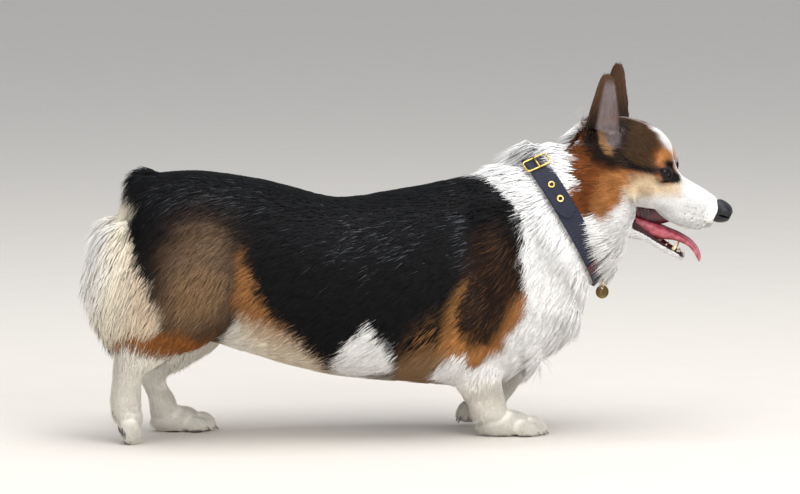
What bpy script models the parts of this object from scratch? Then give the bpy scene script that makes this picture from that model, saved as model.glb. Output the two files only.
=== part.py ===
"""A Pembroke Welsh corgi in mid stride, life size: head towards +X, +Z up, metres.

The flesh is made of lofts and rounded masses, fused by a voxel remesh, smoothed and thinned.
It is then parted by thin cuts into the pieces that a person would name, and flat locks of long
hair are fused to those that carry the ruff, the bib, the breeches and the belly fringe.
"""
import math
import random
from collections import namedtuple

import bmesh
import bpy
from mathutils import Matrix, Vector
from mathutils.bvhtree import BVHTree

MM = 0.001

# Driving dimensions, in millimetres, measured to the outside of the coat.
GAP = 0.3                  # left between pieces that touch
BODY_VOXEL = 3.0
HEAD_VOXEL = 1.4
PAW_VOXEL = 1.7
BODY_TRIANGLES = 2300
HEAD_TRIANGLES = 2300
PAW_TRIANGLES = 200

HEAD_CENTRE = (248.0, -8.0, 306.0)    # middle of the braincase
HEAD_PITCH = 27.0                     # nose down, degrees
HEAD_YAW = -17.0                      # nose towards the dog's right
EYE = (42.5, 30.0, 10.5)               # forward, sideways and up from the braincase's middle
EYE_RADIUS = 10.5
EYE_LOOK = 44.0                       # degrees that an eye's opening turns out from the nose
EAR_LENGTH = {-1: 92.0, 1: 97.0}      # right and left, from a root sunk in the skull
EAR_THICKNESS = 3.2
EAR_OPEN = math.radians(34)           # an ear's cup turns forwards from square to the side
EAR_COLUMNS = 6
COLLAR_WIDTH = 23.0
COLLAR_THICKNESS = 2.8
LOCK_SINK = 5.0            # how deep a lock's root sits in the flesh
LOCK_THICKNESS = 5.0
LOCK_GAP = 0.6             # from a lock to the pieces that it passes
LOCKS_KEEP = 0.78          # share of the triangles kept after the locks are fused

# The trunk: place along the body, top, underside, half width.
TRUNK = (
    (-322, 256, 200, 28),
    (-308, 286, 165, 60),
    (-275, 297, 132, 80),
    (-220, 298, 108, 90),
    (-150, 286, 84, 96),
    (-75, 268, 66, 101),
    (0, 277, 58, 102),
    (60, 288, 52, 97),
    (105, 296, 60, 90),
    (150, 286, 82, 77),
    (182, 255, 105, 60),
    (201, 222, 135, 36),
)
# The neck: nape point and throat point (x, z), half width, sideways shift.
NECK = (
    ((60, 286), (150, 72), 86, 0),
    ((112, 303), (203, 148), 74, 0),
    ((136, 307), (214, 174), 62, -1),
    ((166, 324), (234, 186), 61, -3),
    ((197, 333), (246, 210), 58, -6),
    ((222, 340), (258, 238), 50, -9),
)
# Legs, as level sections: height, front, back, sideways place, half width.
FORELEG_RIGHT = (
    (150, 122, 22, -62, 30),
    (120, 108, 24, -58, 29),
    (101, 102, 31, -54, 25),
    (78, 101, 38, -47, 22),
    (56, 103, 48, -42, 19.5),
    (41, 106, 59, -38, 18),
    (22, 110, 66, -36, 19),
)
FORELEG_LEFT = (
    (190, 158, 76, 50, 28),
    (150, 178, 80, 55, 29),
    (118, 186, 82, 55, 28),
    (95, 175, 83, 52, 25),
    (75, 157, 87, 48, 21.5),
    (56, 142, 93, 45, 18.5),
    (42, 132, 98, 44, 16),
    (32, 124, 102, 43, 14),
)
HINDLEG_RIGHT = (
    (250, -170, -300, -46, 38),
    (210, -172, -318, -58, 39),
    (175, -184, -330, -64, 37),
    (145, -200, -336, -65, 32),
    (118, -222, -337, -62, 27),
    (100, -262, -336, -57, 21),
    (80, -297, -337, -51, 17.5),
    (58, -302, -339, -46, 16.5),
    (38, -303, -338, -42, 17.5),
    (26, -305, -335, -39, 18),
)
HINDLEG_LEFT = (
    (250, -160, -300, 46, 38),
    (210, -163, -322, 58, 39),
    (175, -170, -335, 63, 37),
    (145, -177, -340, 63, 33),
    (118, -186, -337, 60, 28),
    (98, -200, -326, 57, 24),
    (80, -232, -310, 55, 20),
    (62, -264, -300, 53, 17),
    (42, -258, -290, 51, 16),
    (20, -250, -286, 50, 18),
)
# The outline of a thigh from the side: height, front, back.
THIGH = (
    (272, -232, -300),
    (252, -212, -345),
    (222, -192, -372),
    (185, -180, -384),
    (145, -172, -384),
    (115, -176, -376),
    (85, -190, -360),
)
# The head, in its own frame: forward, top, underside, half width.
SKULL = (
    (-64, 16, -34, 34),
    (-46, 33, -52, 50),
    (-22, 42, -58, 57),
    (0, 46.5, -58, 57),
    (20, 45.5, -52, 51),
    (36, 38, -45, 43),
    (48, 24, -40, 36.5),
    (62, 13.5, -36, 30),
    (80, 11.8, -37.5, 25.5),
    (96, 10.8, -34, 23),
    (110, 8.6, -29, 20.5),
    (119, 5.6, -22, 16),
)
JAW = (
    (4, -36, -84, 36),
    (22, -37, -85, 33),
    (40, -44, -80, 29),
    (60, -55, -74, 24),
    (80, -60.5, -73.5, 18.5),
    (95, -62.3, -73, 15),
    (104, -63.5, -71.5, 11),
    (109, -64.5, -70, 6),
)
# The hollow of the open mouth, and the tongue that lies in it.
MOUTH = (
    (4, -42, -58, 11),
    (16, -36, -64, 17),
    (34, -30, -67, 20),
    (54, -27, -67.5, 17.5),
    (76, -28, -69, 13.5),
    (94, -26.5, -69, 10.5),
    (103, -27, -68.5, 7),
)
TONGUE = (
    (20, -44, -64, 12),
    (40, -38, -68, 15),
    (62, -38, -68, 14.5),
    (84, -39, -65, 13),
    (98, -43, -58, 13),
    (110, -48, -57, 13.5),
    (121, -54, -62, 11.5),
    (125, -60, -65, 6.5),
)
NOSE = (
    (108, 5, -13, 8),
    (114, 9.5, -16, 13),
    (122, 9.8, -15.5, 14),
    (129, 7.5, -12, 11.5),
    (133, 3, -8, 6.5),
)

Ring = namedtuple("Ring", "centre up side rise drop half power")


def clear_scene():
    """Removes what the start-up file holds."""
    for obj in list(bpy.data.objects):
        bpy.data.objects.remove(obj, do_unlink=True)


def collection(name):
    made = bpy.data.collections.new(name)
    bpy.context.scene.collection.children.link(made)
    return made


def material(name, colour, roughness, metallic=0.0):
    made = bpy.data.materials.new(name)
    made.use_nodes = True
    shader = made.node_tree.nodes["Principled BSDF"]
    shader.inputs["Base Color"].default_value = (*colour, 1.0)
    shader.inputs["Roughness"].default_value = roughness
    shader.inputs["Metallic"].default_value = metallic
    made.diffuse_color = (*colour, 1.0)
    return made


def new_object(name, bm, home, turn=None):
    """A mesh object from a bmesh given in millimetres, with its faces pointing out."""
    bmesh.ops.recalc_face_normals(bm, faces=bm.faces)
    if turn is not None:
        bm.transform(turn)
    bm.transform(Matrix.Scale(MM, 4))
    mesh = bpy.data.meshes.new(name)
    bm.to_mesh(mesh)
    bm.free()
    made = bpy.data.objects.new(name, mesh)
    home.objects.link(made)
    return made


def between(rows, steps):
    """Rows of numbers with smooth rows put between them, by a Catmull-Rom curve."""
    rows = [tuple(row) for row in rows]
    padded = [rows[0]] + rows + [rows[-1]]
    made = []
    for i in range(1, len(padded) - 2):
        a, b, c, d = padded[i - 1:i + 3]
        for k in range(steps):
            t = k / steps
            made.append(tuple(
                0.5 * (2 * q + (r - p) * t + (2 * p - 5 * q + 4 * r - s) * t * t
                       + (3 * q - p - 3 * r + s) * t ** 3)
                for p, q, r, s in zip(a, b, c, d)))
    made.append(rows[-1])
    return made


def ring_point(ring, turn):
    """A point on a superellipse with a rise and a drop of its own, turned up from its side."""
    across = math.copysign(abs(math.cos(turn)) ** (2 / ring.power), math.cos(turn))
    high = math.copysign(abs(math.sin(turn)) ** (2 / ring.power), math.sin(turn))
    reach = ring.rise if high > 0 else ring.drop
    return ring.centre + ring.side * across * ring.half + ring.up * high * reach


def loft(name, rings, home, turn=None, count=28):
    """A closed skin through the rings, with a fan at each end."""
    bm = bmesh.new()
    rows = [[bm.verts.new(ring_point(ring, 2 * math.pi * i / count)) for i in range(count)]
            for ring in rings]
    for low, high in zip(rows, rows[1:]):
        for i in range(count):
            j = (i + 1) % count
            bm.faces.new((low[i], low[j], high[j], high[i]))
    for row, ring in ((rows[0], rings[0]), (rows[-1], rings[-1])):
        pole = bm.verts.new(ring.centre)
        for i in range(count):
            bm.faces.new((row[i], row[(i + 1) % count], pole))
    return new_object(name, bm, home, turn)


def ball(name, centre, radii, home, turn=None, tilt=0.0, sides=20):
    """An ellipsoid, tilted nose up about its sideways axis by tilt degrees."""
    bm = bmesh.new()
    place = (Matrix.Translation(centre) @ Matrix.Rotation(math.radians(-tilt), 4, "Y")
             @ Matrix.Diagonal((*radii, 1.0)))
    bmesh.ops.create_uvsphere(bm, u_segments=sides, v_segments=sides * 2 // 3, radius=1.0,
                              matrix=place)
    return new_object(name, bm, home, turn)


def block(name, centre, half, home, turn=None, tilt=0.0):
    """A box round its centre, tilted nose up about its sideways axis by tilt degrees."""
    bm = bmesh.new()
    place = (Matrix.Translation(centre) @ Matrix.Rotation(math.radians(-tilt), 4, "Y")
             @ Matrix.Diagonal((*(2 * h for h in half), 1.0)))
    bmesh.ops.create_cube(bm, size=1.0, matrix=place)
    return new_object(name, bm, home, turn)


def upright_rings(rows, power=2.3, steps=4):
    """Upright sections from (place forward, top, underside, half width)."""
    return [Ring(Vector((x, 0, (top + under) / 2)), Vector((0, 0, 1)), Vector((0, 1, 0)),
                 (top - under) / 2, (top - under) / 2, half, power)
            for x, top, under, half in between(rows, steps)]


def neck_rings():
    """Sections that lean with the neck, from nape and throat points."""
    flat = [(*nape, *throat, half, shift) for nape, throat, half, shift in NECK]
    rings = []
    for nape_x, nape_z, throat_x, throat_z, half, shift in between(flat, 4):
        nape = Vector((nape_x, shift, nape_z))
        throat = Vector((throat_x, shift, throat_z))
        depth = (nape - throat).length / 2
        rings.append(Ring((nape + throat) / 2, (nape - throat).normalized(),
                          Vector((0, 1, 0)), depth, depth, half, 2.2))
    return rings


def level_rings(rows):
    """Level sections from (height, front, back, sideways place, half width)."""
    return [Ring(Vector(((front + back) / 2, y, z)), Vector((1, 0, 0)), Vector((0, 1, 0)),
                 (front - back) / 2, (front - back) / 2, half, 2.2)
            for z, front, back, y, half in between(rows, 4)]


def head_frame():
    return (Matrix.Translation(HEAD_CENTRE)
            @ Matrix.Rotation(math.radians(HEAD_YAW), 4, "Z")
            @ Matrix.Rotation(math.radians(HEAD_PITCH), 4, "Y"))


def evaluated(obj):
    """Replaces an object's mesh by what its modifiers make of it."""
    graph = bpy.context.evaluated_depsgraph_get()
    made = bpy.data.meshes.new_from_object(obj.evaluated_get(graph))
    obj.modifiers.clear()
    obj.data = made
    return obj


def copied(obj, name, home):
    made = bpy.data.objects.new(name, obj.data.copy())
    home.objects.link(made)
    return made


def grown(obj, distance, home):
    """A copy pushed out along its normals, as a cutter that leaves a gap."""
    made = copied(obj, obj.name + "_grown", home)
    push = made.modifiers.new("Grow", "DISPLACE")
    push.strength = distance * MM
    push.mid_level = 0.0
    return evaluated(made)


def joined(name, forms, home):
    """One object that holds all the forms' faces."""
    bm = bmesh.new()
    for form in forms:
        bm.from_mesh(form.data)
        bpy.data.objects.remove(form)
    mesh = bpy.data.meshes.new(name)
    bm.to_mesh(mesh)
    bm.free()
    made = bpy.data.objects.new(name, mesh)
    home.objects.link(made)
    return made


def triangle_count(obj):
    return sum(len(face.vertices) - 2 for face in obj.data.polygons)


def thinned(obj, triangles, spared=""):
    """Fewer triangles, with the corners of a vertex group left as they are."""
    thin = obj.modifiers.new("Thin", "DECIMATE")
    thin.ratio = triangles / triangle_count(obj)
    thin.vertex_group = spared
    thin.invert_vertex_group = True
    return evaluated(obj)


def fused(name, forms, home, voxel, rounds, triangles):
    """The forms as one smooth closed skin of about that many triangles."""
    made = joined(name, forms, home)
    remesh = made.modifiers.new("Fuse", "REMESH")
    remesh.mode = "VOXEL"
    remesh.voxel_size = voxel * MM
    smooth = made.modifiers.new("Smooth", "SMOOTH")
    smooth.factor = 0.5
    smooth.iterations = rounds
    return thinned(evaluated(made), triangles)


def largest_body(obj):
    """Keeps an object's largest closed surface, in triangles, and drops loose scraps."""
    bm = bmesh.new()
    bm.from_mesh(obj.data)
    bmesh.ops.triangulate(bm, faces=bm.faces)
    bmesh.ops.remove_doubles(bm, verts=bm.verts, dist=0.002 * MM)
    bmesh.ops.dissolve_degenerate(bm, edges=bm.edges, dist=0.002 * MM)
    flaps = [face for face in bm.faces if sum(edge.is_boundary for edge in face.edges) > 1]
    bmesh.ops.delete(bm, geom=flaps, context="FACES")
    left = set(bm.faces)
    shells = []
    while left:
        first = left.pop()
        shell = [first]
        for face in shell:
            for edge in face.edges:
                for other in edge.link_faces:
                    if other in left:
                        left.discard(other)
                        shell.append(other)
        volume = sum(face.verts[0].co.dot(face.verts[1].co.cross(face.verts[2].co))
                     for face in shell) / 6
        shells.append((volume, shell))
    shells.sort(key=lambda pair: pair[0], reverse=True)
    loose = [face for _, shell in shells[1:] for face in shell]
    bmesh.ops.delete(bm, geom=loose, context="FACES")
    bm.to_mesh(obj.data)
    bm.free()
    return obj


def boolean(obj, cutters, operation, solver="EXACT"):
    """Applies one Boolean with all the cutters, removes them and keeps the largest body."""
    group = bpy.data.collections.new("cutters")
    bpy.context.scene.collection.children.link(group)
    for cutter in cutters:
        group.objects.link(cutter)
    change = obj.modifiers.new("Boolean", "BOOLEAN")
    change.operation = operation
    change.operand_type = "COLLECTION"
    change.collection = group
    change.solver = solver
    evaluated(obj)
    for cutter in cutters:
        bpy.data.objects.remove(cutter)
    bpy.data.collections.remove(group)
    return largest_body(obj)


def parted(flesh, name, make_region, home):
    """The flesh inside a region becomes a piece of its own, with a thin gap round it."""
    piece = copied(flesh, name, home)
    boolean(piece, [make_region(0.0)], "INTERSECT")
    boolean(flesh, [make_region(GAP)], "DIFFERENCE")
    return piece


def cleared(piece, neighbour, home):
    """Cuts a piece back so that it meets its neighbour with the gap."""
    return boolean(piece, [grown(neighbour, GAP, home)], "DIFFERENCE")


def lock(root, way, out, length, width, lift, home, curl):
    """A flat lock of hair: it leaves the flesh, bends along its lie and tapers to a point."""
    side = way.cross(out).normalized()
    rows = []
    bm = bmesh.new()
    for t, wide, thick in ((0.0, 0.85, 1.0), (0.4, 1.0, 0.9), (0.76, 0.64, 0.6)):
        rise = -LOCK_SINK + (LOCK_SINK + lift) * math.sin(min(1.0, t * 1.35) * math.pi / 2)
        centre = root + way * (length * t) + out * rise + side * (curl * t * t)
        rows.append([bm.verts.new(centre + side * (width / 2 * wide * a)
                                  + out * (LOCK_THICKNESS / 2 * thick * b))
                     for a, b in ((-1, -0.4), (0, 1), (1, -0.4))])
    tip = bm.verts.new(root + way * length + out * lift * 0.4 + side * curl * 1.3)
    for low, high in zip(rows, rows[1:]):
        for i in range(3):
            bm.faces.new((low[i], low[(i + 1) % 3], high[(i + 1) % 3], high[i]))
    for i in range(3):
        bm.faces.new((rows[-1][i], rows[-1][(i + 1) % 3], tip))
    bm.faces.new(rows[0])
    bmesh.ops.triangulate(bm, faces=bm.faces)
    return new_object("lock", bm, home)


def locks_on(obj, seeds, home, draw):
    """Locks rooted on an object below seed points: each (point, lie, length, width, lift)."""
    made = []
    for point, lie, length, width, lift in seeds:
        found, spot, normal, _ = obj.closest_point_on_mesh(Vector(point) * MM)
        way = Vector(lie) - normal * normal.dot(Vector(lie))
        size = draw.uniform(0.88, 1.12)
        made.append(lock(spot / MM, way.normalized(), normal, length * size, width, lift * size,
                         home, draw.uniform(-3.5, 3.5)))
    return made


def neck_seeds():
    """Ruff: over the shoulders, in front of the band, at the nape and under the throat."""
    rings = neck_rings()
    seeds = []
    for i in range(14):
        turn = math.radians(-90 + 360 * i / 14)
        seeds.append((ring_point(rings[5], turn), (-1.0, 0, -0.5), 34, 33, 3.5))
    for i in range(13):
        turn = math.radians(-90 + 360 * (i + 0.5) / 13)
        seeds.append((ring_point(rings[14], turn), (-1.0, 0, -0.6), 28, 30, 5.5))
    for i in (-0.5, 0.5):
        top = ring_point(rings[15], math.radians(90 + 26 * i))
        seeds.append((top, (-1.0, 0.1 * i, 0.08), 50, 26, 12.0))
    for i in (-1, 0, 1):
        turn = math.radians(-90 + i * 34)
        seeds.append((ring_point(rings[18], turn), (-0.2, 0, -1.0), 30, 28, 5.0))
    return seeds


def torso_seeds():
    """The bib of the chest, the fringe of the belly and the hair behind the elbows."""
    seeds = []
    for x, z, wide, count in ((208, 146, 42, 4), (190, 108, 46, 4)):
        for i in range(count):
            y = wide * (2 * i / (count - 1) - 1)
            seeds.append(((x + 20 - abs(y) * 0.5, y, z), (-0.35, 0.004 * y, -1.0), 46, 29, 4.5))
    for side in (-1, 1):
        for i in range(7):
            x = -180 + 33 * i
            seeds.append(((x, side * (30 + 22 * (i % 2)), 40), (-0.75, side * 0.15, -0.8), 33, 31,
                          6.5))
        for i in range(2):
            seeds.append(((44 - 34 * i, side * 99, 118 - 16 * i), (-0.8, 0, -1.0), 38, 32, 3.5))
    return seeds


def thigh_seeds(side):
    """The breeches: long locks that hang down the back of the thigh."""
    seeds = []
    for row, z in enumerate((238, 196, 154)):
        for i in range(3):
            y = 18 + 30 * i + (row % 2) * 12
            seeds.append(((-380 + 0.008 * (y - 34) ** 2, side * y, z), (-0.16, side * 0.03, -1.0),
                          50, 30, 2.0))
    for i in range(3):
        seeds.append(((-330 + 33 * i, side * 100, 120), (-0.5, 0, -1.0), 34, 30, 3.5))
    return seeds


def tail_seeds():
    """The short tuft of the docked tail."""
    return ([((-296, 12 * i, 305 - 3 * abs(i)), (-1.0, 0.14 * i, -0.5), 28, 12, 4.0)
             for i in (-1, 0, 1)]
            + [((-322, 9 * (i - 0.5), 284), (-0.5, 0.1 * i, -1.0), 24, 13, 3.5) for i in (0, 1)])


def is_closed(obj):
    bm = bmesh.new()
    bm.from_mesh(obj.data)
    closed = len(bm.faces) > 3 and all(len(edge.link_faces) == 2 for edge in bm.edges)
    bm.free()
    return closed


def surface(obj):
    return BVHTree.FromObject(obj, bpy.context.evaluated_depsgraph_get())


def kept_near(obj, walls, reach):
    """Names the corners that lie within reach of a wall, so that thinning leaves them."""
    group = obj.vertex_groups.new(name="near")
    near = [corner.index for corner in obj.data.vertices
            if any(wall.find_nearest(corner.co, reach * MM)[0] for wall in walls)]
    group.add(near, 1.0, "REPLACE")
    return group.name


def add_locks(obj, seeds, home, draw):
    """Fuses a node's locks into it, each cut clear of the other nodes that it passes."""
    locks = locks_on(obj, seeds, home, draw)
    others = [other for other in home.objects if other is not obj and other not in locks]
    walls = [surface(other) for other in others]
    for other, wall in zip(others, walls):
        for strand in locks:
            near = any(wall.find_nearest(corner.co, 2 * MM)[0] for corner in strand.data.vertices)
            if near or surface(strand).overlap(wall):
                boolean(strand, [grown(other, LOCK_GAP, home)], "DIFFERENCE", "MANIFOLD")
    whole = [strand for strand in locks if is_closed(strand)
             and not any(surface(strand).overlap(wall) for wall in walls)]
    for strand in set(locks) - set(whole):
        bpy.data.objects.remove(strand)
    boolean(obj, whole, "UNION", "MANIFOLD")
    thinned(obj, LOCKS_KEEP * triangle_count(obj), kept_near(obj, walls, 2.0))
    largest_body(obj)


def paw_forms(name, centre, home, turn=0.0, tilt=0.0, length=1.0):
    """A palm and four toes. The frame is forward, sideways, up, from the palm's middle."""
    place = (Matrix.Translation(centre) @ Matrix.Rotation(math.radians(turn), 4, "Z")
             @ Matrix.Rotation(math.radians(-tilt), 4, "Y"))
    forms = [ball(name + "_palm", (0, 0, 0), (30 * length, 20, 17), home, place)]
    for i, (x, y, half, high) in enumerate(((20, -15.5, 7.6, 11), (30, -5.4, 7.8, 12.5),
                                            (30, 5.4, 7.8, 12.5), (20, 15.5, 7.6, 11))):
        forms.append(ball(f"{name}_toe_{i}", (x * length, y, -4), (16, half, high), home, place,
                          tilt=-14))
    return forms


PAWS = {
    "forepaw_right": dict(centre=(104, -36, 13.5), length=1.05),
    "forepaw_left": dict(centre=(100, 43, 30), turn=184, tilt=-18, length=0.8),
    "hindpaw_right": dict(centre=(-319, -40, 35), tilt=-72, length=0.85),
    "hindpaw_left": dict(centre=(-257, 50, 13.5), turn=2),
}
LEGS = {
    "foreleg_right": FORELEG_RIGHT,
    "foreleg_left": FORELEG_LEFT,
    "hindleg_right": HINDLEG_RIGHT,
    "hindleg_left": HINDLEG_LEFT,
}
# Where a paw is parted from its leg.
WRIST = {"forepaw_right": 43, "forepaw_left": 44, "hindpaw_right": 52, "hindpaw_left": 40}


def leg_name(paw):
    return paw.replace("paw", "leg")


def leg_region(rows, top, gap, home):
    """The space round a leg below a height, as wide as the leg and a little more."""
    wide = 5 + gap
    rings = [ring._replace(centre=ring.centre + Vector((0, 0, gap)), rise=ring.rise + wide,
                           drop=ring.drop + wide, half=ring.half + wide)
             for ring in level_rings(rows) if ring.centre.z <= top]
    return loft("leg_region", rings, home, count=10)


def thigh_region(side, gap, home):
    """The oval space of a thigh, from the stifle in front to the breeches behind."""
    middle = (THIGH[0][0] + THIGH[-1][0]) / 2
    rings = [Ring(Vector(((front + back) / 2, side * 90, z + math.copysign(gap, z - middle))),
                  Vector((1, 0, 0)), Vector((0, 1, 0)), (front - back) / 2 + gap,
                  (front - back) / 2 + gap, 62 + gap, 4.0)
             for z, front, back in THIGH]
    return loft("thigh_region", rings, home, count=14)


def body_forms(home):
    forms = [
        loft("trunk", upright_rings(TRUNK), home),
        loft("neck_form", neck_rings(), home),
        ball("tail_form", (-291, 0, 280), (27, 18, 24), home, tilt=-30),
        ball("seat", (-305, 0, 205), (36, 40, 56), home),
    ]
    for name, rows in LEGS.items():
        forms.append(loft(name + "_form", level_rings(rows), home))
    for side in (-1, 1):
        forms.append(ball(f"shoulder_{side}", (84, side * 60, 190), (52, 37, 84), home, tilt=-14))
        forms.append(ball(f"breech_{side}", (-322, side * 38, 178), (38, 34, 74), home))
        forms.append(ball(f"chest_{side}", (160, side * 26, 160), (34, 34, 52), home, tilt=20))
    for name, place in PAWS.items():
        forms += paw_forms(name + "_form", home=home, **place)
    return forms


def head_forms(home, frame):
    forms = [
        loft("skull", upright_rings(SKULL, 2.4), home, frame),
        loft("jaw_form", upright_rings(JAW, 3.2), home, frame),
        loft("neck_end", neck_rings(), home),
    ]
    for side in (-1, 1):
        forms += [
            ball(f"cheek_{side}", (-6, side * 36, -30), (38, 26, 34), home, frame),
            ball(f"cheekbone_{side}", (16, side * 33, -9), (36, 14, 15), home, frame, tilt=-8),
            ball(f"brow_{side}", (35, side * 22, 24), (17, 13, 10), home, frame, tilt=-24),
            ball(f"orbit_{side}", (EYE[0], side * EYE[1], EYE[2]), (13.2, 12.4, 12.4), home, frame),
            ball(f"flews_{side}", (84, side * 15.5, -27), (30, 9.5, 10.5), home, frame, tilt=6),
        ]
    return forms


def eye_matrix(side, frame):
    """Places an eye with its own +X along its look."""
    return (frame @ Matrix.Translation((EYE[0], side * EYE[1], EYE[2]))
            @ Matrix.Rotation(side * math.radians(EYE_LOOK), 4, "Z")
            @ Matrix.Rotation(math.radians(-6), 4, "Y"))


def add_eyes(head, home, frame):
    """Each eyeball sits in a socket that an almond slit opens between its lids."""
    for side, name in ((-1, "eye_right"), (1, "eye_left")):
        place = eye_matrix(side, frame)
        ball(name, (0, 0, 0), (EYE_RADIUS,) * 3, home, place, sides=15)
        wide = EYE_RADIUS + GAP
        socket = ball("socket", (0, 0, 0), (wide,) * 3, home, place, sides=15)
        slit = [Ring(Vector((x, 0, 0)), Vector((0, 0, 1)), Vector((0, 1, 0)), 5.6 * k, 5.0 * k,
                     9.0 * k, 1.5) for x, k in ((3, 0.9), (9, 1.0), (20, 1.25))]
        almond = loft("slit", slit, home, place @ Matrix.Rotation(math.radians(side * 9), 4, "X"),
                      count=16)
        boolean(head, [socket, almond], "DIFFERENCE")


def add_nose(head, home, frame):
    """The leather of the nose, with two comma nostrils."""
    nose = loft("nose", upright_rings(NOSE, 2.2, 2), home, frame, count=14)
    holes = []
    for side in (-1, 1):
        holes.append(ball("nostril", (132, side * 6.4, -1.5), (6, 3.0, 3.4), home, frame, sides=8))
        holes.append(ball("nostril_slit", (127, side * 12.5, -4.5), (7, 3.4, 1.7), home, frame,
                          sides=8))
    boolean(nose, holes, "DIFFERENCE")
    boolean(head, [grown(nose, GAP, home)], "DIFFERENCE")
    return nose


def tooth(name, root, tip, half, home, frame):
    """A peg of five sides that tapers from its root."""
    root, tip = Vector(root), Vector(tip)
    along = (tip - root).normalized()
    side = along.cross(Vector((0, 1, 0))).normalized()
    across = along.cross(side)
    rings = [Ring(root.lerp(tip, t), side, across, half * k, half * k, half * k, 2.0)
             for t, k in ((0, 1.15), (1.0, 0.3))]
    return loft(name, rings, home, frame, count=5)


def teeth(home, frame, upper):
    """One jaw's front teeth, canines and side teeth, rooted in the gum."""
    gum, way = (-24, -1) if upper else (-71, 1)
    front = 108 if upper else 103
    incisor, canine = (7.5, 15) if upper else (11.5, 17)
    made = []
    for i in range(6):
        turn = math.radians((i - 2.5) * 24)
        x, y = front - 7 + 7 * math.cos(turn), 8.0 * math.sin(turn)
        made.append(tooth("incisor", (x, y, gum), (x + 1, y, gum + way * incisor), 1.6, home, frame))
    for side in (-1, 1):
        x, y = (97, 12.5) if upper else (99, 10)
        made.append(tooth("canine", (x, side * y, gum), (x + 3, side * (y + 1), gum + way * canine),
                          2.9, home, frame))
        for k in range(0 if upper else 3):
            x = 84 - 12.5 * k
            y = 14.5 + 2.3 * k
            height = 13.5 + 1.6 * k
            made.append(tooth("side_tooth", (x, side * y, gum), (x, side * y, gum + way * height),
                              2.8 + 0.25 * k, home, frame))
    return made


def add_mouth(head, home, frame):
    """Hollows the mouth, parts the lower jaw and lays the tongue in it."""
    hollow = loft("mouth", upright_rings(MOUTH, 2.6, 2), home, frame, count=16)
    boolean(head, [hollow], "DIFFERENCE")
    length, depth = 50.0, 26.0
    hinge = Vector((30, 0, -43))
    drop = math.radians(-8.7)
    middle = (hinge + length * Vector((math.cos(drop), 0, math.sin(drop)))
              + depth * Vector((math.sin(drop), 0, -math.cos(drop))))
    jaw = parted(head, "lower_jaw",
                 lambda gap: block("jaw_region", middle, (length + gap, 45, depth + gap), home,
                                   frame, -8.7), home)
    boolean(head, teeth(home, frame, True), "UNION")
    boolean(jaw, teeth(home, frame, False), "UNION")
    tongue = loft("tongue", upright_rings(TONGUE, 2.2, 2), home, frame, count=12)
    cleared(tongue, jaw, home)
    cleared(tongue, head, home)



def add_ear(side, name, neighbours, home, frame):
    """A cupped, round-tipped leaf that stands on the skull, open forwards and out."""
    bm = bmesh.new()
    foot = Vector((-27, side * 50, -4))
    tip = Vector((-60, side * 50, 84))
    rise = (tip - foot).normalized()
    length = EAR_LENGTH[side]
    outward = Vector((math.sin(EAR_OPEN), side * math.cos(EAR_OPEN), 0))
    outward = (outward - rise * outward.dot(rise)).normalized()
    across = rise.cross(outward) * side
    rows = []
    for t, half, cup in between(((0, 12, 9), (0.14, 16.5, 12), (0.3, 20.5, 14), (0.5, 18.5, 10), (0.72, 14, 6.5),
                                 (0.9, 9.8, 3.5), (0.97, 6.6, 1.5), (1.0, 2.4, 0.5)), 2):
        row = []
        sunk = 26.0 * max(0.0, 1 - t / 0.34) ** 1.3
        for j in range(EAR_COLUMNS + 1):
            s = 2 * j / EAR_COLUMNS - 1
            place = (foot - outward * sunk + rise * (t * length) + across * (half * math.sin(s * 1.35))
                     + outward * (cup * (0.45 - math.cos(s * 1.5))))
            row.append(bm.verts.new(place))
        rows.append(row)
    for low, high in zip(rows, rows[1:]):
        for j in range(EAR_COLUMNS):
            bm.faces.new((low[j], low[j + 1], high[j + 1], high[j]))
    ear = new_object(name, bm, home, frame)
    shell = ear.modifiers.new("Thickness", "SOLIDIFY")
    shell.thickness = EAR_THICKNESS * MM
    shell.offset = 0.0
    evaluated(ear)
    for neighbour in neighbours:
        cleared(ear, neighbour, home)


def collar_rings():
    """The band's rear and front edges round the neck."""
    rings = neck_rings()
    return rings[6], rings[10]


def on_collar(turn, across, lift=0.0):
    """A point on the band: turned up from its left, across its width from -1 to 1."""
    rear, front = COLLAR

    def middle(angle):
        return (ring_point(rear, angle) + ring_point(front, angle)) / 2

    along = (ring_point(front, turn) - ring_point(rear, turn)).normalized()
    out = (middle(turn + 0.02) - middle(turn - 0.02)).cross(along).normalized()
    return middle(turn) + along * (across * COLLAR_WIDTH / 2) + out * lift, along, out


def add_collar(neck, torso, home):
    """A webbing band let into the coat of the neck, with a staple at the throat."""
    bm = bmesh.new()
    count = 32
    rows = []
    for across in (-1, 1):
        rows.append([bm.verts.new(on_collar(2 * math.pi * i / count, across, 0.4)[0])
                     for i in range(count)])
    for i in range(count):
        j = (i + 1) % count
        bm.faces.new((rows[0][i], rows[0][j], rows[1][j], rows[1][i]))
    band = new_object("collar", bm, home)
    shell = band.modifiers.new("Thickness", "SOLIDIFY")
    shell.thickness = COLLAR_THICKNESS * MM
    shell.offset = 0.0
    evaluated(band)
    place, _, out = on_collar(TAG_TURN, 0.0)
    staple = wire_ring("staple", place + out * 2.0, (0, 1, 0), 3.9, 1.3, home, 12)
    boolean(band, [staple], "UNION")
    cleared(neck, band, home)
    cleared(torso, band, home)


def plate_matrix(turn, across, lift):
    """Sets a flat fitting on the band: its own X along the strap's width, Z outwards."""
    place, along, out = on_collar(turn, across, lift)
    side = out.cross(along)
    return Matrix.Translation(place) @ Matrix((along, side, out)).transposed().to_4x4()


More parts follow.
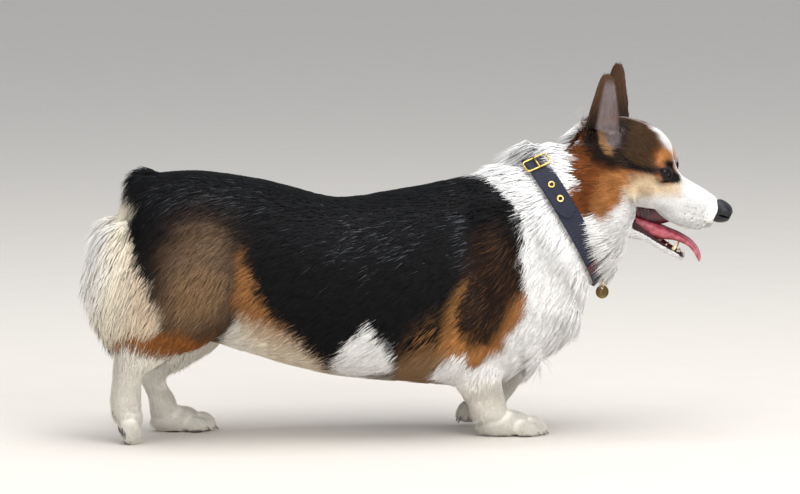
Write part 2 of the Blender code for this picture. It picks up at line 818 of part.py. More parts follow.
def add_buckle(home):
    """A flat frame buckle with its prong."""
    place = plate_matrix(BUCKLE_TURN, 0.0, COLLAR_THICKNESS / 2 + 0.4 + GAP + 1.3)
    frame = block("collar_buckle", (0, 0, 0), (14.5, 10.0, 1.2), home, place)
    boolean(frame, [block("opening", (0, 0, 0), (11.0, 6.6, 4.0), home, place)], "DIFFERENCE")
    prong = block("prong", (0, 0, 0.2), (1.3, 8.5, 1.0), home, place)
    boolean(frame, [prong], "UNION")


def add_eyelet(name, turn, home):
    bm = bmesh.new()
    bmesh.ops.create_cone(bm, cap_ends=True, segments=14, radius1=4.2, radius2=3.6, depth=1.0)
    place = plate_matrix(turn, 0.0, COLLAR_THICKNESS / 2 + 0.4 + GAP + 0.6)
    eyelet = new_object(name, bm, home, place)
    boolean(eyelet, [rod("hole", 2.0, 6.0, home, place, 10)], "DIFFERENCE")


def rod(name, radius, length, home, turn, sides=16):
    bm = bmesh.new()
    bmesh.ops.create_cone(bm, cap_ends=True, segments=sides, radius1=radius, radius2=radius,
                          depth=length)
    return new_object(name, bm, home, turn)


def wire_ring(name, centre, axis, radius, half, home, count=16):
    """A ring of round wire with six sides."""
    bm = bmesh.new()
    axis = Vector(axis).normalized()
    across = axis.orthogonal().normalized()
    rows = []
    for i in range(count):
        turn = Matrix.Rotation(2 * math.pi * i / count, 3, axis)
        out = turn @ across
        rows.append([bm.verts.new(Vector(centre) + out * (radius + half * math.cos(math.pi * j / 3))
                                  + axis * half * math.sin(math.pi * j / 3)) for j in range(6)])
    for i, row in enumerate(rows):
        other = rows[(i + 1) % count]
        for j in range(6):
            k = (j + 1) % 6
            bm.faces.new((row[j], row[k], other[k], other[j]))
    return new_object(name, bm, home)


def add_tag(home):
    """A wire ring hangs in the staple of the band, and a round tag hangs from that."""
    place, _, out = on_collar(TAG_TURN, 0.0)
    link = place + out * 3.3
    down = Vector((0, 0, -1))
    wire_ring("collar_ring", link + down * 4.6, (1, 0, 0), 4.6, 0.8, home)
    hung = link + down * 9.2
    flat = Matrix.Rotation(math.radians(90), 4, "X")
    tag = rod("tag", 7.5, 1.5, home, Matrix.Translation(hung + down * 5.0) @ flat, 18)
    boolean(tag, [rod("eye", 1.5, 6.0, home, Matrix.Translation(hung + down * 0.35) @ flat, 10)],
            "DIFFERENCE")


BUCKLE_TURN = math.radians(118)
TAG_TURN = math.radians(-104)
COLLAR = collar_rings()


def stand_at_origin(objects):
    """Brings the middle of the animal's box over the origin, with its soles on the floor."""
    corners = [vert.co for obj in objects for vert in obj.data.vertices]
    low = [min(corner[i] for corner in corners) for i in range(3)]
    high = [max(corner[i] for corner in corners) for i in range(3)]
    shift = Matrix.Translation((-(low[0] + high[0]) / 2, -(low[1] + high[1]) / 2, -low[2]))
    for obj in objects:
        obj.data.transform(shift)


# The look of each node: the first pattern that its name holds.
FINISHES = (
    ("eye_", "eye", (0.03, 0.015, 0.01), 0.1, 0.0),
    ("nose", "nose_leather", (0.016, 0.016, 0.02), 0.35, 0.0),
    ("tongue", "tongue", (0.40, 0.06, 0.08), 0.35, 0.0),
    ("eyelet", "brass", (0.60, 0.45, 0.10), 0.3, 1.0),
    ("buckle", "brass", (0.60, 0.45, 0.10), 0.3, 1.0),
    ("ring", "brass", (0.60, 0.45, 0.10), 0.3, 1.0),
    ("tag", "brass", (0.60, 0.45, 0.10), 0.3, 1.0),
    ("collar", "navy_webbing", (0.02, 0.03, 0.08), 0.8, 0.0),
    ("ear_", "red_coat", (0.25, 0.10, 0.03), 0.8, 0.0),
    ("thigh", "brown_coat", (0.28, 0.17, 0.09), 0.8, 0.0),
    ("torso", "black_coat", (0.02, 0.02, 0.022), 0.7, 0.0),
    ("tail", "black_coat", (0.02, 0.02, 0.022), 0.7, 0.0),
    ("", "white_coat", (0.80, 0.77, 0.70), 0.85, 0.0),
)


def finish(objects):
    """Gives each node its material and shades it smooth up to its sharp edges."""
    made = {}
    for obj in objects:
        name, *look = next(row[1:] for row in FINISHES if row[0] in obj.name)
        if name not in made:
            made[name] = material(name, *look)
        obj.data.materials.clear()
        obj.data.materials.append(made[name])
        obj.data.shade_smooth()
        obj.data.set_sharp_from_angle(angle=math.radians(40))


def main():
    clear_scene()
    parts = collection("corgi")
    frame = head_frame()
    torso = fused("torso", body_forms(parts), parts, BODY_VOXEL, 40, BODY_TRIANGLES)
    head = fused("head", head_forms(parts, frame), parts, HEAD_VOXEL, 14, HEAD_TRIANGLES)

    nape_cut, throat_cut = Vector((88, 0, 300)), Vector((201, 0, 143))
    lean = math.degrees(math.atan2(throat_cut.x - nape_cut.x, nape_cut.z - throat_cut.z))
    middle = (nape_cut + throat_cut) / 2
    ahead = Vector((math.cos(math.radians(lean)), 0, math.sin(math.radians(lean))))
    neck = parted(torso, "neck",
                  lambda gap: block("neck_region", middle + ahead * 120, (120 + gap, 130, 95),
                                    parts, tilt=lean), parts)
    head_nape, head_throat = Vector((191, 0, 336)), Vector((241, 0, 194))
    lean = math.degrees(math.atan2(head_throat.x - head_nape.x, head_nape.z - head_throat.z))
    middle = (head_nape + head_throat) / 2
    ahead = Vector((math.cos(math.radians(lean)), 0, math.sin(math.radians(lean))))
    boolean(neck, [block("front", middle + ahead * 150, (150, 130, 150), parts, tilt=lean)],
            "DIFFERENCE")
    boolean(head, [block("rear", middle - ahead * (150 - GAP), (150, 130, 150), parts, tilt=lean)],
            "DIFFERENCE")

    parted(torso, "tail",
           lambda gap: ball("tail_region", (-306, 0, 290), (34 + gap, 22 + gap, 30 + gap),
                            parts, tilt=-30, sides=10), parts)
    for paw, place in PAWS.items():
        leg = leg_name(paw)
        side = -1 if leg.endswith("right") else 1
        wrist = WRIST[paw]
        x = place["centre"][0]
        foot = fused(paw, paw_forms(paw + "_form", home=parts, **place)
                     + [loft("shank", level_rings(LEGS[leg]), parts)],
                     parts, PAW_VOXEL, 4, 4 * PAW_TRIANGLES)
        boolean(foot, [block("above", (x, side * 45, wrist + 200), (200, 120, 200), parts)],
                "DIFFERENCE")
        thinned(foot, PAW_TRIANGLES)
        boolean(foot, [block("floor", (x, side * 45, -50), (200, 120, 50), parts)], "DIFFERENCE")
        boolean(torso, [block("below", (x, side * 60, wrist - 50 + GAP), (90, 50, 50), parts)],
                "DIFFERENCE")
    for side, name in ((-1, "right"), (1, "left")):
        parted(torso, "foreleg_" + name,
               lambda gap: leg_region(LEGS["foreleg_" + name], 104, gap, parts), parts)
        parted(torso, "hock_" + name,
               lambda gap: block("hock_region", (-280, side * 60, 60), (80, 44, 32 + gap),
                                 parts), parts)
        parted(torso, "thigh_" + name, lambda gap: thigh_region(side, gap, parts), parts)

    nose = add_nose(head, parts, frame)
    add_mouth(head, parts, frame)
    add_eyes(head, parts, frame)
    add_ear(-1, "ear_right", (head, neck), parts, frame)
    add_ear(1, "ear_left", (head, neck), parts, frame)
    add_collar(neck, torso, parts)
    add_tag(parts)
    add_buckle(parts)
    add_eyelet("collar_eyelet_1", math.radians(146), parts)
    add_eyelet("collar_eyelet_2", math.radians(160), parts)
    draw = random.Random(11)
    add_locks(torso, torso_seeds(), parts, draw)
    add_locks(neck, neck_seeds(), parts, draw)
    for side, name in ((-1, "right"), (1, "left")):
        add_locks(parts.objects["thigh_" + name], thigh_seeds(side), parts, draw)
    add_locks(parts.objects["tail"], tail_seeds(), parts, draw)
    finish(parts.objects)
    stand_at_origin(parts.objects)


main()
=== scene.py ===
"""A life-size museum model of a Pembroke Welsh corgi in mid stride, with its coat and collar.

One skin is fused from the same lofts as the solids and lies inside them by the depth of the coat.
The coat is thin closed tufts, joined in a few pieces, that follow the lie of the hair. Lengths in
the tables are millimetres in the maker's own frame, and ORIGIN brings that frame to the packed
one. The maker's frame has X ahead, Y to the left and Z up, and the head's own frame does too.
"""
import math

import bmesh
import bpy
import numpy as np
from mathutils import Matrix, Vector
from mathutils.bvhtree import BVHTree


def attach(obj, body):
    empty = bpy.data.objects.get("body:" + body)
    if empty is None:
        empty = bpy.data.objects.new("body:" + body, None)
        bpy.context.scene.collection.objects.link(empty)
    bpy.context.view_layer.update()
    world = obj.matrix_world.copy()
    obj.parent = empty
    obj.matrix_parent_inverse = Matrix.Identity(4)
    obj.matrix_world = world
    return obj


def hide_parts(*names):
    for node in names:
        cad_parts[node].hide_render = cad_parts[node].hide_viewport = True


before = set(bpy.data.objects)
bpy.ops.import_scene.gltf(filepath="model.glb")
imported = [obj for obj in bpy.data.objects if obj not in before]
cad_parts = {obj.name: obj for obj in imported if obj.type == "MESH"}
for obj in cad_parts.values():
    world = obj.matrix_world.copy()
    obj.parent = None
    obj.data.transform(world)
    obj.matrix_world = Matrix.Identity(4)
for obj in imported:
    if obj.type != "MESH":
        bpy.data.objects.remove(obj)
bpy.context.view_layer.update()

bl_info = {
    "name": "Pembroke Welsh Corgi Model",
    "version": (1, 0, 0),
    "blender": (4, 5, 0),
    "location": "View3D > Sidebar > Corgi",
    "description": "A life-size corgi in mid stride, with its coat, collar and tag",
    "category": "Add Mesh",
}

MM = 0.001
ORIGIN = (5.012, -0.01, 0.0)          # added to the maker's places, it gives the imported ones
SEED = 20                             # of the random draws

# The trunk: place along the body, top, underside, half width.
TRUNK = (
    (-322, 256, 200, 28), (-308, 286, 165, 60), (-275, 297, 132, 80), (-220, 298, 108, 90),
    (-150, 286, 84, 96), (-75, 268, 66, 101), (0, 277, 58, 102), (60, 288, 52, 97),
    (105, 296, 60, 90), (150, 286, 82, 77), (182, 255, 105, 60), (201, 222, 135, 36),
)
# The neck: nape x and z, throat x and z, half width, sideways shift.
NECK = (
    (60, 286, 150, 72, 86, 0), (112, 303, 203, 148, 74, 0), (136, 307, 214, 174, 62, -1),
    (166, 324, 234, 186, 61, -3), (197, 333, 246, 210, 58, -6), (222, 340, 258, 238, 50, -9),
)
# Legs in level sections: height, front, back, sideways place, half width.
LEGS = {
    "foreleg_right": (
        (150, 122, 22, -62, 30), (120, 108, 24, -58, 29), (101, 102, 31, -54, 25),
        (78, 101, 38, -47, 22), (56, 103, 48, -42, 19.5), (41, 106, 59, -38, 18),
        (22, 110, 66, -36, 19),
    ),
    "foreleg_left": (
        (190, 158, 76, 50, 28), (150, 178, 80, 55, 29), (118, 186, 82, 55, 28),
        (95, 175, 83, 52, 25), (75, 157, 87, 48, 21.5), (56, 142, 93, 45, 18.5),
        (42, 132, 98, 44, 16), (32, 124, 102, 43, 14),
    ),
    "hindleg_right": (
        (250, -170, -300, -46, 38), (210, -172, -318, -58, 39), (175, -184, -330, -64, 37),
        (145, -200, -336, -65, 32), (118, -222, -337, -62, 27), (100, -262, -336, -57, 21),
        (80, -297, -337, -51, 17.5), (58, -302, -339, -46, 16.5), (38, -303, -338, -42, 17.5),
        (26, -305, -335, -39, 18),
    ),
    "hindleg_left": (
        (250, -160, -300, 46, 38), (210, -163, -322, 58, 39), (175, -170, -335, 63, 37),
        (145, -177, -340, 63, 33), (118, -186, -337, 60, 28), (98, -200, -326, 57, 24),
        (80, -232, -310, 55, 20), (62, -264, -300, 53, 17), (42, -258, -290, 51, 16),
        (20, -250, -286, 50, 18),
    ),
}
# Paws: palm's middle, turn and nose-up tilt in degrees, length.
PAWS = {
    "forepaw_right": ((104, -36, 13.5), 0, 0, 1.05),
    "forepaw_left": ((100, 43, 30), 184, -18, 0.8),
    "hindpaw_right": ((-319, -40, 35), 0, -72, 0.85),
    "hindpaw_left": ((-257, 50, 13.5), 2, 0, 1.0),
}
# The head, in its own frame: forward, top, underside, half width.
SKULL = (
    (-64, 16, -34, 34), (-46, 33, -52, 50), (-22, 42, -58, 57), (0, 46.5, -58, 57),
    (20, 45.5, -52, 51), (36, 38, -45, 43), (48, 24, -40, 36.5), (62, 13.5, -36, 30),
    (80, 11.8, -37.5, 25.5), (96, 10.8, -34, 23), (110, 8.6, -29, 20.5), (119, 5.6, -22, 16),
)
JAW = (
    (4, -36, -81, 35), (22, -37, -80, 31), (40, -44, -76, 27), (60, -55, -72.5, 22.5),
    (80, -60.5, -72.5, 18), (95, -62.3, -72.5, 15), (104, -63.5, -71.5, 11), (109, -64.5, -70, 6),
)
MOUTH = (
    (4, -42, -58, 12), (16, -36, -65, 20), (34, -30, -69, 25), (54, -27, -69, 21.5),
    (76, -28, -69.5, 16.5), (94, -26.5, -69.5, 12.5), (103, -27, -68.5, 8.5),
)
LINING = (
    (8, -34, -62, 12), (30, -29, -60, 16), (50, -26, -56, 15), (68, -24, -46, 12),
    (82, -22, -33, 9),
)
TONGUE = (
    (20, -48, -66, 13), (42, -47.5, -67.5, 16), (60, -47, -66, 15), (76, -46, -61, 14),
    (90, -45, -55.5, 13.5), (104, -46, -54, 13), (113, -49, -56.5, 12.5),
    (119, -53, -60, 11.5), (123.5, -57.5, -63.5, 8.5), (125.5, -61, -64.5, 4.5),
)
NOSE = (
    (108, 5, -13, 8), (114, 9.5, -16, 13), (122, 9.8, -15.5, 14), (129, 7.5, -12, 11.5),
    (133, 3, -8, 6.5),
)


EYE_RADIUS = 10.5
EYE = np.array((42.5, 30.0, 10.5))    # the left eye: forward, sideways, up in the head's frame
EYE_LOOK = 50.0                       # degrees that an eye looks out to its own side
LIDS = (5.6, 5.0, 9.0)                # rise, drop and half width of the lids' opening
LIDS_POWER = 1.5                      # below 2, which makes its corners pointed
LIDS_TURN = 9.0                       # degrees by which its outer corner is turned up
EAR_LENGTH = {-1: 92.0, 1: 97.0}
EAR_OPEN = math.radians(34)           # how far forward the cup of an ear faces
EAR_SINK = 26.0                       # how deep an ear's foot is sunk in the head
EAR_CURL = 1.35                       # how far its edges curl round
EAR_CUP = 1.5                         # and how far its cup does
COLLAR_WIDTH = 23.0
COLLAR_LIFT = 0.4                     # the band's middle above the sections of the neck
STRAP = 2.8                           # the band's thickness
ROUND = 2.2                           # the power of the sections of the neck and legs
UP = (0, 0, 1)
ACROSS = (0, 1, 0)


def turned(degrees, axis):
    """A turn about an axis, as a 4 by 4 matrix."""
    return Matrix.Rotation(math.radians(degrees), 4, axis)


HEAD = Matrix.Translation((248.0, -8.0, 306.0)) @ turned(-17.0, "Z") @ turned(27.0, "Y")
HEAD_TURN = np.array(HEAD)[:3, :3]
HEAD_MIDDLE = np.array(HEAD)[:3, 3]
HEAD_BACK = np.array(HEAD.inverted())

# How the coat lies. Each row: place, lie, length, depth of the coat, width of a tuft. Those of
# the body and the head stand for both sides, and those of the legs for one.
BODY_GUIDES = (
    ((-60, 0, 268), (-1, 0, 0), 22, 4, 1.5),
    ((60, 0, 290), (-1, 0, -0.05), 24, 4.5, 1.5),
    ((-200, 0, 298), (-1, 0, 0), 24, 4.5, 1.5),
    ((-282, 0, 300), (-1, 0, -0.5), 16, 3.5, 1.2),
    ((-312, 0, 285), (-0.2, 0, -1), 20, 4, 1.3),
    ((-320, 22, 262), (-0.3, 0.1, -1), 26, 5, 1.5),
    ((110, 40, 290), (-1, 0.1, -0.3), 30, 6, 1.7),
    ((-80, 85, 230), (-1, 0, -0.35), 23, 4, 1.5),
    ((50, 90, 230), (-1, 0, -0.35), 24, 4, 1.5),
    ((-200, 85, 240), (-0.9, 0, -0.5), 24, 4, 1.5),
    ((-80, 101, 160), (-1, 0, -0.5), 25, 4.5, 1.5),
    ((50, 97, 150), (-0.9, 0, -0.7), 27, 5, 1.6),
    ((-80, 90, 100), (-0.9, 0, -0.8), 30, 5, 1.7),
    ((-80, 30, 62), (-0.9, 0.2, -0.6), 34, 6, 1.9),
    ((20, 30, 55), (-0.8, 0.2, -0.7), 34, 6, 1.9),
    ((-180, 40, 90), (-0.9, 0.1, -0.6), 32, 6, 1.9),
    ((130, 60, 200), (-0.6, 0.1, -0.9), 31, 7, 1.7),
    ((200, 0, 180), (-0.2, 0, -1), 42, 9, 2.0),
    ((160, 20, 95), (-0.8, 0, -0.7), 36, 8, 2.0),
    ((40, 85, 110), (-0.7, 0, -0.8), 34, 6, 1.8),
    ((180, 58, 250), (-0.7, 0.1, -0.8), 38, 8, 1.9),
    ((150, 10, 315), (-1, 0, -0.1), 36, 8, 1.9),
    ((190, 15, 338), (-1, 0, 0.15), 34, 7, 1.9),
    ((235, 10, 190), (-0.4, 0, -1), 34, 8, 1.9),
    ((-250, 80, 230), (-0.7, 0, -0.8), 25, 5, 1.5),
    ((-250, 98, 170), (-0.6, 0, -0.9), 26, 5, 1.6),
    ((-230, 90, 120), (-0.7, 0, -0.8), 26, 5, 1.6),
    ((-360, 40, 200), (-0.25, 0, -1), 50, 10, 2.2),
    ((-330, 80, 180), (-0.4, 0, -1), 40, 8, 2.0),
    ((-370, 35, 140), (-0.1, 0, -1), 44, 10, 2.2),
    ((-330, 0, 250), (-0.5, 0, -1), 34, 7, 1.9),
    ((-250, 20, 120), (-0.3, 0, -1), 18, 4, 1.6),
)
LEG_GUIDES = (
    ((68, -64, 122), (-0.4, 0, -1), 18, 4, 1.4),
    ((60, -56, 90), (-0.4, 0, -1), 14, 2.6, 1.3),
    ((82, -40, 50), (0.1, 0, -1), 9, 1.8, 1.1),
    ((115, -36, 20), (1, 0, -0.5), 7, 1.3, 1.0),
    ((130, 52, 90), (-0.3, 0, -1), 14, 2.6, 1.3),
    ((117, 45, 50), (-0.2, 0, -1), 9, 1.8, 1.1),
    ((92, 43, 26), (-1, 0, -0.6), 7, 1.3, 1.0),
    ((-318, -48, 70), (-0.1, 0, -1), 10, 2.0, 1.1),
    ((-319, -40, 28), (0, 0, -1), 7, 1.3, 1.0),
    ((-283, 54, 65), (0.1, 0, -1), 10, 2.0, 1.1),
    ((-240, 50, 18), (1, 0, -0.4), 7, 1.3, 1.0),
)
HEAD_GUIDES = (
    ((100, 0, 10), (-1, 0, 0), 5, 0.6, 0.8),
    ((95, 20, -12), (-1, 0.1, -0.2), 6, 0.8, 0.8),
    ((65, 0, 15), (-1, 0, 0.3), 6, 0.8, 0.8),
    ((90, 20, -28), (-0.8, 0.1, -0.6), 6, 0.7, 0.8),
    ((50, 30, -30), (-1, 0.3, -0.4), 10, 1.4, 0.9),
    ((35, 0, 38), (-0.7, 0, 0.8), 8, 1.1, 0.9),
    ((0, 0, 47), (-1, 0, 0), 12, 1.8, 1.0),
    ((44, 22, 28), (-0.6, 0.3, 0.8), 7, 0.8, 0.8),
    ((48, 34, -4), (-0.9, 0.3, -0.3), 7, 0.8, 0.8),
    ((30, 42, 8), (-1, 0.2, 0.1), 9, 1.1, 0.9),
    ((0, 54, -5), (-1, 0.2, -0.4), 14, 2.0, 1.1),
    ((0, 55, -40), (-0.9, 0.2, -0.7), 20, 3.5, 1.4),
    ((-20, 50, -55), (-0.9, 0.1, -0.8), 28, 5.5, 1.7),
    ((20, 15, -85), (-1, 0, -0.4), 20, 3.5, 1.4),
    ((90, 10, -72), (-1, 0, -0.3), 8, 1.0, 0.9),
    ((60, 22, -68), (-1, 0, -0.2), 10, 1.3, 1.0),
    ((-50, 0, 30), (-1, 0, -0.2), 20, 4.0, 1.5),
    ((-50, 48, 0), (-1, 0, -0.6), 28, 5.0, 1.7),
)


def between(rows, steps):
    """Rows of numbers with smooth rows put between them, by a Catmull-Rom curve."""
    rows = np.array([rows[0], *rows, rows[-1]], float)
    made = []
    for i in range(1, len(rows) - 2):
        a, b, c, d = rows[i - 1:i + 3]
        for k in range(steps):
            t = k / steps
            made.append(0.5 * (2 * b + (c - a) * t + (2 * a - 5 * b + 4 * c - d) * t * t
                               + (3 * b - a - 3 * c + d) * t ** 3))
    made.append(rows[-1])
    return made


def hoop(centre, up, side, rise, drop, half, power=2.3, count=32):
    """The points of one section: a superellipse with a rise and a drop of its own."""
    turn = np.arange(count) * 2 * np.pi / count
    across = np.sign(np.cos(turn)) * np.abs(np.cos(turn)) ** (2 / power)
    high = np.sign(np.sin(turn)) * np.abs(np.sin(turn)) ** (2 / power)
    reach = np.where(high > 0, rise, drop)
    return (np.array(centre, float) + np.outer(across * half, side)
            + np.outer(high * reach, up))


def lattice(rows, columns, whole=False):
    """Faces between rows of points that each close on themselves, and the rows too if whole."""
    return [(row * columns + k, row * columns + (k + 1) % columns,
             (row + 1) % rows * columns + (k + 1) % columns, (row + 1) % rows * columns + k)
            for row in range(rows if whole else rows - 1) for k in range(columns)]


def tube(hoops):
    """A closed shape through the sections, as points and faces."""
    count = len(hoops[0])
    points = list(np.concatenate(hoops))
    faces = lattice(len(hoops), count)
    for row, turn in ((0, -1), (len(hoops) - 1, 1)):
        pole = len(points)
        points.append(hoops[row].mean(axis=0))
        for i in range(count):
            ring = (row * count + i, row * count + (i + 1) % count)
            faces.append((*ring[::turn], pole))
    return np.array(points), faces


def upright(rows, power=2.3, steps=5, count=32):
    """Upright sections from place forward, top, underside and half width."""
    return tube([hoop((x, 0, (top + under) / 2), UP, ACROSS, (top - under) / 2,
                      (top - under) / 2, half, power, count)
                 for x, top, under, half in between(rows, steps)])


def level(rows):
    """Level sections from height, front, back, sideways place and half width."""
    return tube([hoop(((front + back) / 2, y, z), (1, 0, 0), ACROSS, (front - back) / 2,
                      (front - back) / 2, half, ROUND)
                 for z, front, back, y, half in between(rows, 5)])


def neck_sections():
    """Centre, up, depth and half width of each section that leans with the neck."""
    made = []
    for nape_x, nape_z, throat_x, throat_z, half, shift in between(NECK, 4):
        nape = np.array((nape_x, shift, nape_z))
        throat = np.array((throat_x, shift, throat_z))
        deep = np.linalg.norm(nape - throat) / 2
        made.append(((nape + throat) / 2, (nape - throat) / deep / 2, deep, half))
    return made


def neck_shape(first=0):
    """The neck's loft, from that section on, with its first sections drawn in."""
    rings = neck_sections()[first:]
    shares = [0.8, 0.93] + [1.0] * len(rings) if first else [1.0] * len(rings)
    return tube([hoop(centre, up, ACROSS, deep * k, deep * k, half * k, ROUND)
                 for (centre, up, deep, half), k in zip(rings, shares)])


def egg(centre, radii, tilt=0.0, count=24):
    """An ellipsoid, tilted nose up by tilt degrees."""
    hoops = []
    for k in range(1, count // 2):
        polar = math.pi * k / (count // 2)
        turn = np.arange(count) * 2 * np.pi / count
        hoops.append(np.column_stack((np.cos(turn) * math.sin(polar),
                                      np.sin(turn) * math.sin(polar),
                                      np.full(count, -math.cos(polar)))))
    points, faces = tube(hoops)
    points[-2:] = (0, 0, -1), (0, 0, 1)
    place = Matrix.Translation(centre) @ turned(-tilt, "Y") @ Matrix.Diagonal((*radii, 1.0))
    return moved((points, faces), place)


def moved(shape, place):
    """A shape brought into a frame."""
    points, faces = shape
    turn = np.array(place)
    return points @ turn[:3, :3].T + turn[:3, 3], faces


def merged(shapes):
    """Many shapes as one."""
    points, faces, count = [], [], 0
    for own, quads in shapes:
        points.append(own)
        faces += [tuple(i + count for i in face) for face in quads]
        count += len(own)
    return np.concatenate(points), faces


def solid(name, shape):
    """A smooth-shaded object from points in the maker's frame, with its faces pointing out."""
    points, faces = shape
    mesh = bpy.data.meshes.new(name)
    mesh.from_pydata(((points + ORIGIN) * MM).tolist(), [], faces)
    bm = bmesh.new()
    bm.from_mesh(mesh)
    bmesh.ops.recalc_face_normals(bm, faces=bm.faces)
    bm.to_mesh(mesh)
    bm.free()
    mesh.shade_smooth()
    made = bpy.data.objects.new(name, mesh)
    bpy.context.scene.collection.objects.link(made)
    return made


def fresh():
    """Deselects all, so that an operator acts on the new piece alone."""
    bpy.ops.object.select_all(action="DESELECT")


def alone(obj):
    """Makes an object the active one, and the only one that is selected."""
    fresh()
    bpy.context.view_layer.objects.active = obj
    obj.select_set(True)


def modified(obj, kind, **settings):
    """Adds a modifier and puts what it makes of the object into the object's own mesh."""
    change = obj.modifiers.new(kind.title(), kind)
    for key, value in settings.items():
        setattr(change, key, value)
    graph = bpy.context.evaluated_depsgraph_get()
    made = bpy.data.meshes.new_from_object(obj.evaluated_get(graph))
    old = obj.data
    obj.modifiers.clear()
    obj.data = made
    bpy.data.meshes.remove(old)


def evenly_smoothed(obj, rounds, **settings):
    """Moves each point halfway to its neighbours' middle, that many times."""
    modified(obj, "SMOOTH", factor=0.5, iterations=rounds, **settings)


def thinned(obj, ratio):
    """Leaves that share of the triangles."""
    modified(obj, "DECIMATE", ratio=ratio)


def remeshed(obj, voxel):
    """Makes one closed skin of all the shapes, from voxels of that many millimetres."""
    modified(obj, "REMESH", mode="VOXEL", voxel_size=voxel * MM)


def weighted(obj, name, shares):
    """A vertex group that holds a share for each point."""
    group = obj.vertex_groups.new(name=name)
    for share in np.unique(shares):
        group.add(np.flatnonzero(shares == share).tolist(), float(share), "REPLACE")
    return name


def cut(obj, tools, operation="DIFFERENCE", solver="MANIFOLD"):
    """One Boolean with all the tools, which are then removed."""
    group = bpy.data.collections.new("tools")
    bpy.context.scene.collection.children.link(group)
    for tool in tools:
        group.objects.link(tool)
    modified(obj, "BOOLEAN", operation=operation, operand_type="COLLECTION", collection=group,
             solver=solver)
    for tool in tools:
        bpy.data.objects.remove(tool)
    bpy.data.collections.remove(group)
    return obj


def fused(name, shapes, voxel, rounds, triangles, calm=None):
    """The shapes as one smooth closed skin of about that many triangles. Calm gives, for each
    height, how much of the smoothing acts there, so that thin legs keep their girth."""
    made = solid(name, merged(shapes))
    remeshed(made, voxel)
    group = ""
    if calm:
        heights = np.array([point.co.z for point in made.data.vertices]) / MM
        group = weighted(made, "calm", np.round(calm(heights), 2))
    evenly_smoothed(made, rounds, vertex_group=group)
    made.vertex_groups.clear()
    count = 2 * len(made.data.polygons)
    if count > triangles:
        thinned(made, triangles / count)
    return made


# The toes: place forward and sideways, half width and half height.
TOES = ((20, -15.5, 7.6, 11), (30, -5.4, 7.8, 12.5), (30, 5.4, 7.8, 12.5), (20, 15.5, 7.6, 11))


def paw_place(name):
    """A paw's own frame, and its length."""
    centre, turn, tilt, length = PAWS[name]
    return Matrix.Translation(centre) @ turned(turn, "Z") @ turned(-tilt, "Y"), length


def paw_shapes(name):
    """A palm and four toes."""
    place, length = paw_place(name)
    made = [egg((0, 0, 0), (30 * length, 20, 17))]
    made += [egg((x * length, y, -4), (16, half, high), -14) for x, y, half, high in TOES]
    return [moved(shape, place) for shape in made]


def body_shapes():
    """Trunk, neck, legs and the masses of shoulder, thigh and chest."""
    made = [upright(TRUNK), neck_shape(), egg((-291, 0, 280), (27, 18, 24), -30),
            egg((-305, 0, 205), (36, 40, 56))]
    made += [level(rows) for rows in LEGS.values()]
    for side in (-1, 1):
        made += [egg((84, side * 60, 190), (52, 37, 84), -14),
                 egg((-322, side * 38, 178), (38, 34, 74)),
                 egg((160, side * 26, 160), (34, 34, 52), 20)]
    return made


def eye_centre(side):
    """The middle of an eye, in the head's frame."""
    return EYE * (1, side, 1)


def head_shapes():
    """Skull and jaw, with cheeks, brows, lids and lips, and the top of the neck."""
    made = [upright(SKULL, 2.4), upright(JAW, 3.2)]
    for side in (-1, 1):
        made += [egg((-6, side * 36, -30), (38, 26, 34)),
                 egg((16, side * 33, -9), (36, 14, 15), -8),
                 egg((35, side * 22, 24), (17, 13, 10), -24),
                 egg(eye_centre(side), (13.2, 12.4, 12.4)),
                 egg((84, side * 15.5, -27), (30, 9.5, 10.5), 6)]
    return [moved(shape, HEAD) for shape in made] + [neck_shape(5)]


def unit(vectors):
    """One vector or rows of them, each of length one."""
    return vectors / np.linalg.norm(vectors, axis=-1, keepdims=True)


def ear_axes(side):
    """Foot, rise, outward and across of an ear, in the head's frame."""
    foot = np.array((-27.0, side * 50, -4))
    rise = unit(np.array((-60.0, side * 50, 84)) - foot)
    outward = np.array((math.sin(EAR_OPEN), side * math.cos(EAR_OPEN), 0))
    outward = unit(outward - rise * (outward @ rise))
    return foot, rise, outward, np.cross(rise, outward) * side


# An ear: share of its length, half width, depth of its cup.
EAR_ROWS = np.array(((0, 12, 9), (0.14, 16.5, 12), (0.3, 20.5, 14), (0.5, 18.5, 10),
                     (0.72, 14, 6.5), (0.9, 9.8, 3.5), (0.97, 6.6, 1.5), (1.0, 2.4, 0.5)))


def ear_level(share, cup, curl):
    """How far out an ear's leaf lies, at a share of its length and of the way across it."""
    sunk = EAR_SINK * np.maximum(0, 1 - share / 0.34) ** 1.3
    return cup * (0.45 - np.cos(curl * EAR_CUP)) - sunk


